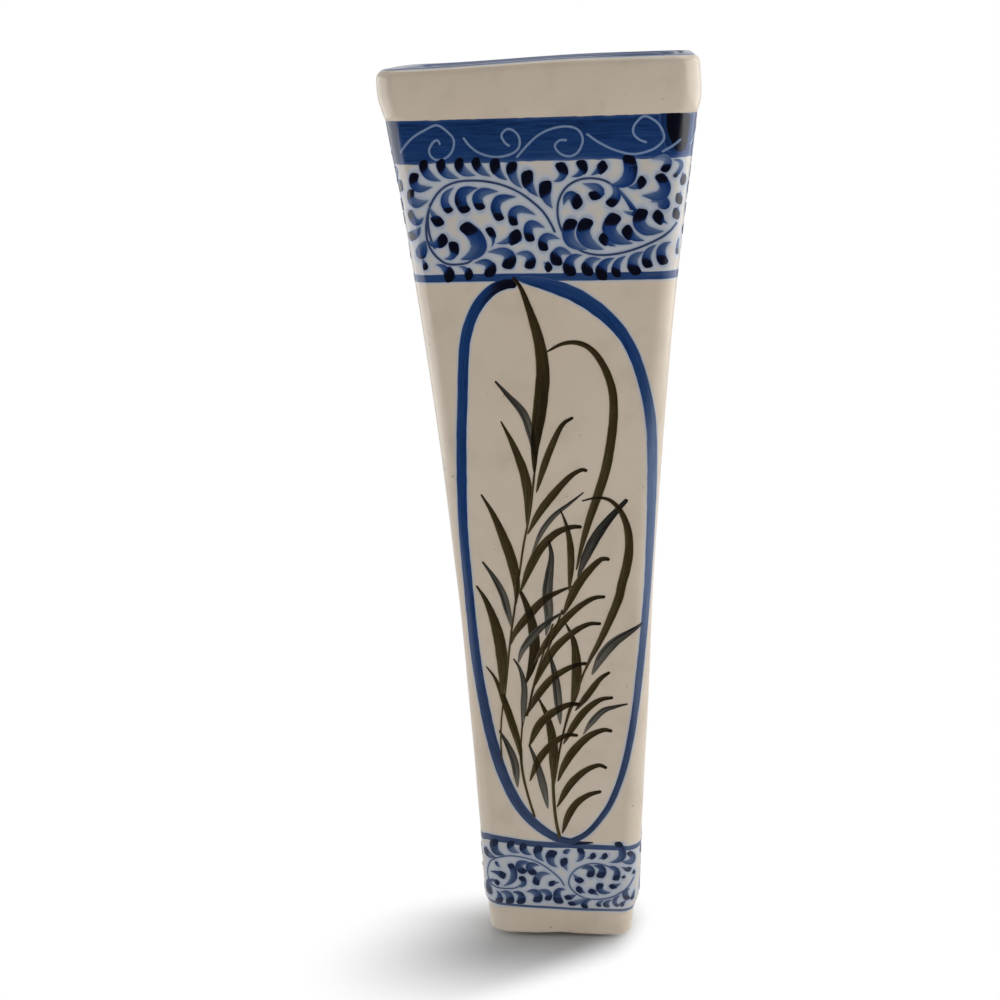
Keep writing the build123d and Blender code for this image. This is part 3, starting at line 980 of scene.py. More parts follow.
# Leafy scrolls: stems, and leaves as tail, elbow and head, the widths of the wash and of the dark head,
# and the length of the head where it is unusual
upperScroll = {
    "stemWidth": 0.72,
    "stemEnd": 0.3,
    "stemInk": 0.6,
    "bleed": 1.5,  # how far the glaze beside a stroke is tinted
    "bleedRows": (241.5, 252.0, 262.5, 267.0),
    "bleedEnd": 96.0,
    "washScale": 1.38,
    "washInk": (0.35, 0.5, 0.77),  # tail, elbow and head
    "dipInk": 1.0,
    "dipScale": 1.0,
    "dipLength": 1.14,
    "sideStep": 86.0,  # the sides repeat the front's scrolls this far along
    "leftStems": [
        [(3.7, 249.8), (2.5, 252.5), (0, 256.5), (-5, 261), (-10, 263.8), (-15, 265.3), (-20, 265.9),
         (-25, 265.6), (-29, 264), (-32, 261), (-34, 257), (-35, 252), (-34.7, 247.5), (-33, 244),
         (-30, 241.3), (-27, 240.7), (-23, 241.2), (-20.5, 243)],
        [(-33.2, 259.5), (-34.3, 255), (-34.1, 250), (-32.7, 245.6)],
    ],
    "rightStems": [
        [(40.5, 252), (38, 249.5), (34, 247), (28, 244.5), (22, 243), (16, 242.8), (11, 244.3),
         (7.5, 247.5), (5.3, 251.5), (4.6, 256), (5.3, 260), (7.5, 263.3), (11, 265.3), (15, 265.7),
         (19, 264.8), (22.5, 262.2), (25, 259), (26.5, 256)],
    ],
    "leftLeaves": [
        ((-29.7, 266.0), (-33.3, 267.8), (-34.6, 270.6), 2.1, 2.6, 1.4),
        ((-24.3, 266.7), (-28.0, 268.2), (-29.4, 270.6), 2.2, 2.9, 1.4),
        ((-19.3, 267.4), (-22.8, 268.7), (-24.0, 270.8), 2.2, 3.0, 1.4),
        ((-14.8, 267.0), (-17.6, 268.8), (-18.9, 270.9), 2.0, 2.9, 1.3),
        ((-10.0, 265.8), (-12.4, 267.8), (-13.4, 270.2), 2.0, 3.0, 1.4),
        ((-5.7, 263.3), (-8.0, 266.3), (-8.5, 269.4), 2.0, 3.3, 1.15),
        ((-1.0, 260.7), (-3.2, 263.4), (-4.0, 266.2), 2.2, 3.5, 1.35),
        ((3.2, 257.1), (1.6, 259.8), (1.2, 263.0), 2.3, 3.8, 1.3),
        ((-32.5, 264.3), (-37.0, 264.2), (-37.8, 267.0), 2.2, 2.8, 1.25),
        ((-33.8, 260.3), (-38.2, 259.7), (-39.2, 262.3), 2.5, 2.5, 1.3),
        ((-35.6, 255.3), (-37.9, 253.8), (-39.9, 256.0), 2.0, 2.4),
        ((-36.8, 252.5), (-38.2, 250.6), (-40.6, 249.4), 2.2, 2.9),
        ((-35.4, 248.2), (-36.9, 245.2), (-38.2, 242.8), 2.9, 0),
        ((-36.9, 242.6), (-36.4, 241.4), (-36.0, 240.2), 1.2, 1.9),
        ((-26.0, 264.0), (-28.9, 260.8), (-27.9, 257.3), 1.9, 2.6, 0.8),
        ((-18.8, 263.6), (-23.8, 261.9), (-23.2, 257.5), 2.7, 3.1, 0.85),
        ((-12.8, 262.4), (-18.4, 261.9), (-18.5, 258.2), 2.3, 3.0, 0.85),
        ((-7.6, 260.7), (-13.2, 259.6), (-13.0, 255.0), 2.3, 2.6, 1.1),
        ((-2.0, 255.2), (-7.6, 257.0), (-8.7, 253.6), 2.0, 2.7, 1.2),
        ((0.6, 251.3), (-3.7, 252.3), (-4.0, 248.6), 2.2, 2.7),
        ((5.0, 247.8), (0.9, 248.5), (0.0, 245.8), 2.0, 2.9),
        ((-33.6, 258.5), (-33.0, 256.8), (-31.4, 254.0), 1.2, 3.4),
        ((-34.6, 248.3), (-32.8, 247.0), (-30.3, 248.1), 2.0, 3.2),
        ((-30.0, 242.6), (-27.6, 243.2), (-26.9, 245.9), 1.8, 3.0, 1.3),
        ((-25.0, 242.2), (-19.4, 245.8), (-22.2, 251.4), 4.0, 3.9, 1.25),
        ((-15.6, 245.8), (-14.9, 247.9), (-15.5, 250.3), 1.0, 2.2, 1.6),
        ((-14.0, 246.8), (-11.3, 247.4), (-8.3, 248.7), 1.6, 4.0),
        ((-32.7, 240.7), (-30.4, 239.9), (-28.8, 237.4), 1.8, 3.6),
        ((-25.8, 240.0), (-24.0, 239.4), (-22.8, 237.5), 1.4, 3.0),
        ((-21.0, 241.0), (-17.0, 241.0), (-16.2, 238.5), 1.9, 3.5),
        ((-16.7, 244.3), (-11.0, 244.0), (-10.4, 240.9), 2.2, 3.8),
        ((-8.3, 243.5), (-4.5, 243.2), (-4.0, 240.5), 1.9, 3.2),
        ((0.0, 240.9), (0.7, 240.2), (1.4, 239.3), 1.0, 2.5),
    ],
    "rightLeaves": [
        ((8.8, 242.7), (4.8, 244.2), (3.8, 241.6), 2.2, 3.7),
        ((11.6, 242.8), (8.2, 241.6), (7.7, 238.4), 2.2, 3.5),
        ((17.3, 241.5), (13.9, 240.8), (13.1, 238.2), 2.2, 3.6),
        ((21.3, 241.7), (18.2, 240.0), (17.3, 237.0), 2.2, 3.6),
        ((24.7, 242.3), (22.2, 240.2), (21.7, 237.3), 1.8, 2.8),
        ((30.0, 243.5), (26.9, 241.2), (27.2, 238.0), 2.3, 3.5),
        ((33.8, 245.5), (31.2, 243.0), (31.0, 240.0), 1.9, 2.9),
        ((38.3, 246.2), (35.4, 244.2), (35.6, 240.9), 2.2, 3.2),
        ((13.3, 244.5), (8.2, 247.2), (8.2, 252.0), 2.8, 3.8),
        ((18.0, 244.4), (12.7, 247.6), (12.7, 251.9), 3.3, 4.0),
        ((26.7, 246.0), (20.4, 248.8), (20.9, 253.2), 3.2, 3.9),
        ((36.0, 249.5), (29.8, 250.4), (29.1, 254.4), 2.8, 3.9),
        ((37.2, 251.8), (35.8, 252.6), (34.4, 253.8), 1.2, 3.4),
        ((6.5, 258.0), (8.2, 260.9), (10.4, 258.8), 2.2, 3.4),
        ((12.3, 264.2), (17.3, 262.2), (15.7, 260.6), 2.2, 3.0),
        ((20.0, 264.3), (22.3, 261.5), (20.8, 258.5), 2.0, 2.9),
        ((21.8, 245.3), (20.0, 246.1), (18.2, 247.5), 1.4, 2.9),
        ((30.3, 246.8), (27.4, 247.7), (25.3, 249.5), 1.8, 3.3),
        ((24.1, 255.8), (26.0, 255.1), (28.0, 254.9), 1.0, 1.6, 1.6),
        ((22.4, 263.2), (25.3, 259.0), (28.0, 255.4), 0.9, 0),
        ((3.7, 265.0), (6.3, 266.4), (6.3, 268.9), 1.8, 3.1, 1.25),
        ((9.0, 266.3), (11.8, 267.4), (12.3, 269.4), 1.5, 2.9, 1.25),
        ((14.7, 266.6), (16.2, 267.4), (18.1, 268.9), 1.4, 3.0),
        ((20.4, 263.6), (25.6, 265.3), (26.0, 270.8), 3.3, 3.5, 0.9),
        ((25.3, 263.0), (27.6, 262.9), (29.5, 264.2), 1.5, 2.9),
        ((29.7, 260.3), (35.9, 260.7), (35.4, 265.1), 2.8, 3.0),
        ((32.7, 270.8), (36.9, 270.9), (36.6, 268.1), 1.8, 2.7),
        ((32.4, 258.2), (35.0, 258.9), (36.6, 256.0), 2.8, 0),
        ((38.8, 270.5), (41.5, 269.2), (39.6, 265.9), 1.2, 1.2),
        ((41.9, 266.8), (42.2, 265.8), (42.5, 264.4), 1.2, 2.6),
        ((41.6, 261.0), (41.3, 260.0), (41.0, 258.8), 1.4, 2.8),
        ((40.8, 256.6), (40.4, 255.6), (40.1, 254.4), 1.4, 2.8),
        ((41.8, 247.2), (41.4, 245.2), (41.2, 243.0), 1.2, 1.7),
    ],
}

lowerScroll = {
    "stemWidth": 0.5,
    "stemEnd": 0.3,
    "stemInk": 0.46,
    "bleed": 1.8,
    "bleedRows": (18.0, 28.0, 33.5),
    "bleedEnd": 66.0,
    "washScale": 1.18,
    "washInk": (0.4, 0.52, 0.66),
    "dipInk": 0.81,
    "dipScale": 0.94,
    "dipLength": 1.15,
    "sideStep": 57.0,
    "leftStems": [
        [(1.4, 21.8), (0, 24.3), (-2, 26.6), (-5.4, 29.5), (-9, 31.6), (-13, 32.8), (-17.2, 33.3),
         (-21, 32.7), (-24, 31.2), (-25.6, 28.2), (-26, 25), (-25, 22.3), (-22.6, 20.8), (-19, 20.3),
         (-15.8, 20.6), (-13.8, 21.8)],
    ],
    "rightStems": [
        [(26, 25), (24, 22), (21, 19.5), (17.4, 17.4), (13, 16.6), (8.5, 17), (4.9, 19.2), (3, 22.4),
         (3.5, 25.6), (5.6, 28.4), (9, 30.3), (12.4, 30.8), (16, 30), (18.5, 28.3)],
    ],
    "leftLeaves": [
        ((-19.2, 33.6), (-22.2, 35.0), (-22.8, 38.2), 2.5, 3.2),
        ((-13.9, 34.6), (-16.4, 35.8), (-16.9, 38.0), 2.3, 3.0),
        ((-9.8, 33.8), (-12.0, 35.1), (-12.6, 37.0), 2.2, 2.8),
        ((-5.5, 31.4), (-7.4, 33.6), (-7.5, 36.0), 2.4, 3.3),
        ((-1.0, 29.2), (-3.2, 31.4), (-2.9, 34.2), 2.5, 3.5),
        ((2.6, 27.8), (1.8, 29.4), (1.4, 31.3), 1.7, 3.2),
        ((3.7, 36.2), (2.4, 35.5), (1.7, 34.4), 1.6, 0),
        ((-22.2, 32.6), (-24.4, 33.0), (-26.2, 34.2), 2.2, 2.8),
        ((-20.8, 28.8), (-21.8, 29.8), (-22.2, 31.0), 1.0, 0),
        ((-24.6, 26.6), (-22.4, 26.6), (-20.2, 25.7), 1.4, 2.6),
        ((-24.6, 23.7), (-23.3, 23.3), (-22.1, 22.6), 1.0, 1.9),
        ((-19.8, 21.3), (-16.3, 24.6), (-16.9, 29.2), 2.3, 2.3),
        ((-10.2, 30.7), (-14.2, 30.1), (-13.2, 27.5), 2.4, 2.7),
        ((-7.2, 29.7), (-10.6, 29.6), (-9.7, 27.1), 2.4, 2.7),
        ((-15.3, 21.0), (-12.9, 22.2), (-13.2, 24.3), 1.8, 2.3),
        ((-3.5, 26.3), (-6.8, 26.1), (-8.4, 23.3), 2.2, 2.9),
        ((-0.4, 23.1), (-1.6, 22.9), (-3.0, 22.6), 1.2, 2.2),
        ((-23.4, 22.8), (-25.5, 22.2), (-25.8, 18.9), 2.5, 3.3),
        ((-22.5, 19.2), (-21.4, 17.6), (-21.7, 15.3), 1.8, 2.9),
        ((-21.0, 18.9), (-18.5, 18.2), (-17.8, 15.4), 2.6, 3.4),
        ((-16.8, 18.9), (-14.1, 18.1), (-13.9, 15.4), 2.2, 3.0),
        ((-11.9, 19.2), (-8.5, 18.9), (-8.0, 16.3), 2.4, 3.3),
        ((-8.2, 19.7), (-4.6, 19.0), (-4.3, 16.9), 2.0, 2.6),
        ((1.7, 20.3), (-1.0, 19.5), (-0.9, 15.9), 2.4, 3.1),
    ],
    "rightLeaves": [
        ((5.6, 18.3), (4.2, 17.7), (2.6, 17.1), 1.4, 2.3),
        ((8.7, 17.3), (6.8, 15.7), (3.8, 14.4), 2.1, 2.7),
        ((10.7, 16.4), (8.5, 15.4), (8.1, 13.4), 1.8, 2.4),
        ((15.0, 16.2), (13.5, 15.2), (13.1, 13.9), 1.4, 2.0),
        ((17.7, 16.6), (16.1, 15.4), (15.7, 13.9), 1.5, 2.3),
        ((20.6, 18.3), (18.7, 16.2), (19.3, 14.0), 1.4, 1.7),
        ((22.9, 16.4), (22.0, 15.4), (21.3, 14.4), 1.1, 2.0),
        ((24.1, 20.8), (22.5, 19.6), (22.9, 17.4), 2.0, 2.2),
        ((26.2, 19.7), (25.8, 18.2), (25.2, 16.7), 1.1, 1.5),
        ((4.4, 26.6), (5.4, 25.4), (6.6, 24.1), 1.4, 2.8),
        ((8.6, 18.9), (7.6, 19.6), (6.5, 20.4), 1.4, 2.4),
        ((7.2, 28.8), (10.3, 29.0), (10.6, 26.7), 2.2, 2.8),
        ((11.5, 29.9), (14.4, 29.0), (14.2, 26.5), 2.3, 2.8),
        ((16.4, 29.7), (19.3, 28.6), (19.4, 25.4), 1.9, 2.5),
        ((17.4, 19.4), (14.2, 19.8), (13.6, 21.8), 1.9, 2.6),
        ((20.9, 23.0), (19.6, 22.4), (18.1, 21.8), 1.2, 2.2),
        ((13.1, 18.2), (12.0, 19.0), (10.9, 19.7), 1.4, 2.3),
        ((21.3, 29.6), (22.4, 29.0), (23.7, 28.5), 1.0, 2.0),
        ((22.6, 26.4), (22.2, 25.9), (21.9, 25.6), 0.8, 1.2),
        ((26.4, 27.7), (26.1, 27.2), (25.9, 26.8), 0.8, 1.4),
        ((5.7, 31.5), (7.4, 33.2), (7.3, 35.7), 2.0, 2.5),
        ((9.3, 32.8), (10.4, 33.2), (11.4, 33.8), 1.0, 2.2),
        ((13.5, 32.8), (14.6, 33.2), (15.5, 33.8), 1.0, 2.1),
        ((17.2, 31.3), (21.4, 33.6), (20.4, 38.3), 2.5, 2.6),
        ((21.2, 31.8), (25.4, 31.7), (24.4, 34.6), 2.5, 2.2),
    ],
}

# How every leaf is brushed
leafStyle = {
    "washVary": 0.5,  # leaves differ this much in paint
    "dipVary": 0.15,
    "dipOver": 0.46,  # how much of the dark head lies past its middle
    "dipSkew": 0.36,  # its inner corner runs on ahead
    "innerEdge": -0.25,  # paint is thinner inside the bend
    "swellOver": (0.4, 0.85),  # where the wash takes on the width of the head
    "washEnds": (0.1, 0.45),
    "dipEnds": (0.25, 0.4),
    "wash": [(0, 0.06), (0.14, 0.36), (0.28, 0.66), (0.45, 0.9), (0.65, 1.0), (0.85, 1.0), (1, 0.96)],
    "dip": [(0.72, 0.6), (0.94, 0.9), (1.0, 1.0), (1.02, 1.0), (1.0, 1.0), (0.95, 1.0)],  # width and ink
}


def paintLeaf(washes, dips, scroll, leaf, by, strokes):
    # a comma: one bent sweep that fills out towards its head, which is dipped in dark paint
    tail, elbow, head = (np.array(p) for p in moved(leaf[:3], by))
    uneven = noise.noise(Vector((head[0] * 0.37, head[1] * 0.41, 2)))
    wide = leaf[3] * scroll["washScale"]
    dip = leaf[4] * scroll["dipScale"] * (1 + leafStyle["dipVary"] * uneven)
    pull = 2 * elbow - (tail + head) / 2
    steps = np.linspace(0, 1, 25)[:, None]
    line = tail * (1 - steps) ** 2 + pull * 2 * steps * (1 - steps) + head * steps**2
    ahead = (head - pull) / np.linalg.norm(head - pull)
    length = dip * (leaf[5] if len(leaf) > 5 else scroll["dipLength"])
    line = np.vstack([line, head + ahead * (length * leafStyle["dipOver"] + 0.01)])
    far = lengthsAlong(line)
    full = far[-1]

    def at(p):
        return [np.interp(p, far, line[:, c]) for c in range(2)]

    rows = []
    for t, share in leafStyle["wash"]:
        ink = np.interp(t, (0, 0.5, 1), scroll["washInk"]) * (1 + leafStyle["washVary"] * uneven)
        width = mixed(wide, dip, ramp(t, *leafStyle["swellOver"])) if dip else wide
        rows.append((*at(t * full), width * share, ink))
    (ax, az), (bx, bz) = elbow - tail, head - elbow
    inner = 1 if ax * bz - az * bx > 0 else -1
    start, end = leafStyle["washEnds"]
    strokes.append(addStroke(washes, rows, start, (dip or wide) * end, leafStyle["innerEdge"] * inner))
    if dip:
        places = np.linspace(max(full - length, 0), full, len(leafStyle["dip"]))
        rows = []
        for p, (share, ink) in zip(places, leafStyle["dip"]):
            rows.append((*at(p), dip * share, ink * scroll["dipInk"]))
        start, end = leafStyle["dipEnds"]
        addStroke(dips, rows, dip * start, dip * end, skew=inner * leafStyle["dipSkew"])


def tintGround(scroll, name, strokes):
    # the blue has run into the glaze between the strokes, most beside them
    spots = np.vstack(strokes)

    def tint(s, z):
        gaps = np.hypot(spots[:, 0] - s, spots[:, 1] - z) - spots[:, 2] / 2
        return float(np.clip(1 - gaps.min() / scroll["bleed"], 0, 1))

    layer = newLayer("tint")
    for z in scroll["bleedRows"]:
        addStroke(layer, inked(levelLine(z, scroll["bleedEnd"]), brushwork["sheet"], 0.0), under=tint)
    finishLayer(layer, name + "_bleed", blueBleed)


def paintScroll(scroll, name, leafPaint, headPaint):
    stems, washes, dips = (newLayer(kind) for kind in ("stems", "leaves", "heads"))
    strokes = []
    step = scroll["sideStep"]
    for hand, by in (("left", 0), ("right", 0), ("left", step), ("right", -step)):
        for stem in scroll[hand + "Stems"]:
            rows = inked(moved(stem, by), scroll["stemWidth"], scroll["stemInk"])
            strokes.append(addStroke(stems, rows, scroll["stemEnd"], scroll["stemEnd"]))
        for leaf in scroll[hand + "Leaves"]:
            paintLeaf(washes, dips, scroll, leaf, by, strokes)
    tintGround(scroll, name, strokes)
    finishLayer(stems, name + "_stems", dustyCobalt)
    finishLayer(washes, name + "_leaves", leafPaint)
    finishLayer(dips, name + "_heads", headPaint)


paintScroll(upperScroll, "upper_scroll", cobaltPaint, deepCobalt)
paintScroll(lowerScroll, "lower_scroll", dustyCobalt, dustyCobalt)

# Border lines and the oval ring round the panel, as (s, z, width, ink)
borders = {
    "upper": [(-96, 236.4, 2.4, 0.6), (-60, 236.2, 2.4, 0.55), (-42, 236.4, 2.3, 0.58),
              (-20, 236.5, 2.4, 0.62), (0, 236.3, 2.4, 0.6), (20, 236.2, 2.5, 0.58),
              (42, 236.2, 2.4, 0.56), (60, 236.4, 2.4, 0.6), (96, 236.2, 2.4, 0.55)],
    "lowerTop": [(-66, 39.0, 2.2, 0.55), (-45, 38.6, 2.3, 0.54), (-29, 39.6, 2.5, 0.54),
                 (-25, 40.4, 2.5, 0.54), (-19, 39.6, 2.5, 0.55), (-11.5, 38.4, 2.4, 0.55),
                 (-4, 37.9, 2.3, 0.54), (3.5, 37.8, 2.2, 0.53), (11, 37.3, 2.0, 0.53),
                 (21, 37, 1.8, 0.53), (28, 36.9, 1.7, 0.52), (45, 37.6, 1.9, 0.52),
                 (66, 38.6, 2.0, 0.52)],
    "lowerBottom": [(-64, 14.2, 1.3, 0.42), (-40, 14.4, 1.3, 0.42), (-26, 14.3, 1.3, 0.44),
                    (-19, 13.5, 1.3, 0.46), (-11, 12.7, 1.2, 0.46), (-4, 12.3, 1.2, 0.42),
                    (5, 11.7, 1.2, 0.42), (14, 11.5, 1.2, 0.44), (24, 11.6, 1.3, 0.44),
                    (45, 12.6, 1.3, 0.42), (64, 13.8, 1.3, 0.42)],
    "smear": [(2, 38.6, 1.0, 0.8), (5, 38.7, 1.7, 0.9), (8.5, 38.8, 1.2, 0.85), (11.6, 39.0, 0.5, 0.8)],
}

ovalRing = [
    (-8.3, 234.5, 2.9, 1.0), (-12, 234.4, 3.3, 0.98), (-16, 232.6, 3.5, 0.82), (-20, 228.6, 3.5, 0.72),
    (-23, 223.2, 3.4, 0.7), (-25, 216.5, 3.3, 0.69), (-26, 208, 3.3, 0.68), (-26.7, 198, 3.3, 0.68),
    (-27.5, 188, 3.2, 0.67), (-28, 178, 3.2, 0.66), (-28.4, 168, 3.3, 0.65), (-28.7, 155, 3.3, 0.64),
    (-28.3, 140, 3.4, 0.63), (-27.6, 122, 3.6, 0.62), (-26.7, 108, 3.7, 0.61), (-24.7, 92, 3.6, 0.6),
    (-22.3, 78, 3.6, 0.6), (-18.9, 65, 3.7, 0.59), (-14.3, 54, 3.7, 0.58), (-8.6, 46.3, 3.5, 0.58),
    (-2, 41.1, 3.1, 0.6), (3, 39.4, 2.5, 0.66), (6, 40.3, 2.2, 0.68), (9.8, 43, 2.0, 0.66),
    (13.6, 47.7, 2.0, 0.64), (17.6, 54.5, 2.1, 0.62), (21.3, 65, 2.2, 0.59), (24, 77, 2.4, 0.57),
    (26.1, 90, 2.5, 0.55), (28, 105, 2.8, 0.52), (29.8, 120, 3.1, 0.46), (31.3, 135, 3.5, 0.42),
    (32.1, 150, 3.9, 0.4), (32.5, 165, 3.9, 0.39), (32.5, 178, 3.8, 0.4), (31.9, 190, 3.5, 0.45),
    (30.2, 200, 3.3, 0.53), (27.6, 209.5, 3.4, 0.64), (24.7, 216, 3.5, 0.68), (21.2, 221, 3.9, 0.69),
    (15.8, 226.2, 4.4, 0.68), (9, 230.8, 4.6, 0.67), (2, 233.6, 4.0, 0.66), (-4, 235.2, 2.8, 0.64),
    (-7.4, 235.9, 1.8, 0.62),
]


def paintLines():
    # each line's last numbers are the roundings of its ends
    layer = newLayer("lines")
    paintBlue(layer, borders["upper"], 0.8, 0.8)
    finishLayer(layer, "upper_border_line", cobaltPaint)
    layer = newLayer("lines")
    paintBlue(layer, borders["lowerTop"], 0.6, 0.6)
    paintBlue(layer, borders["lowerBottom"], 0.4, 0.4)
    addStroke(layer, borders["smear"], 0.5, 0.2)
    finishLayer(layer, "lower_border_lines", dustyCobalt)
    layer = newLayer("ring")
    paintBlue(layer, ovalRing[::-1], 0.8, 1.1, -0.1)
    finishLayer(layer, "oval_ring", ringPaint)
    finishLayer(bleeding, "cobalt_bleed", blueBleed)


paintLines()

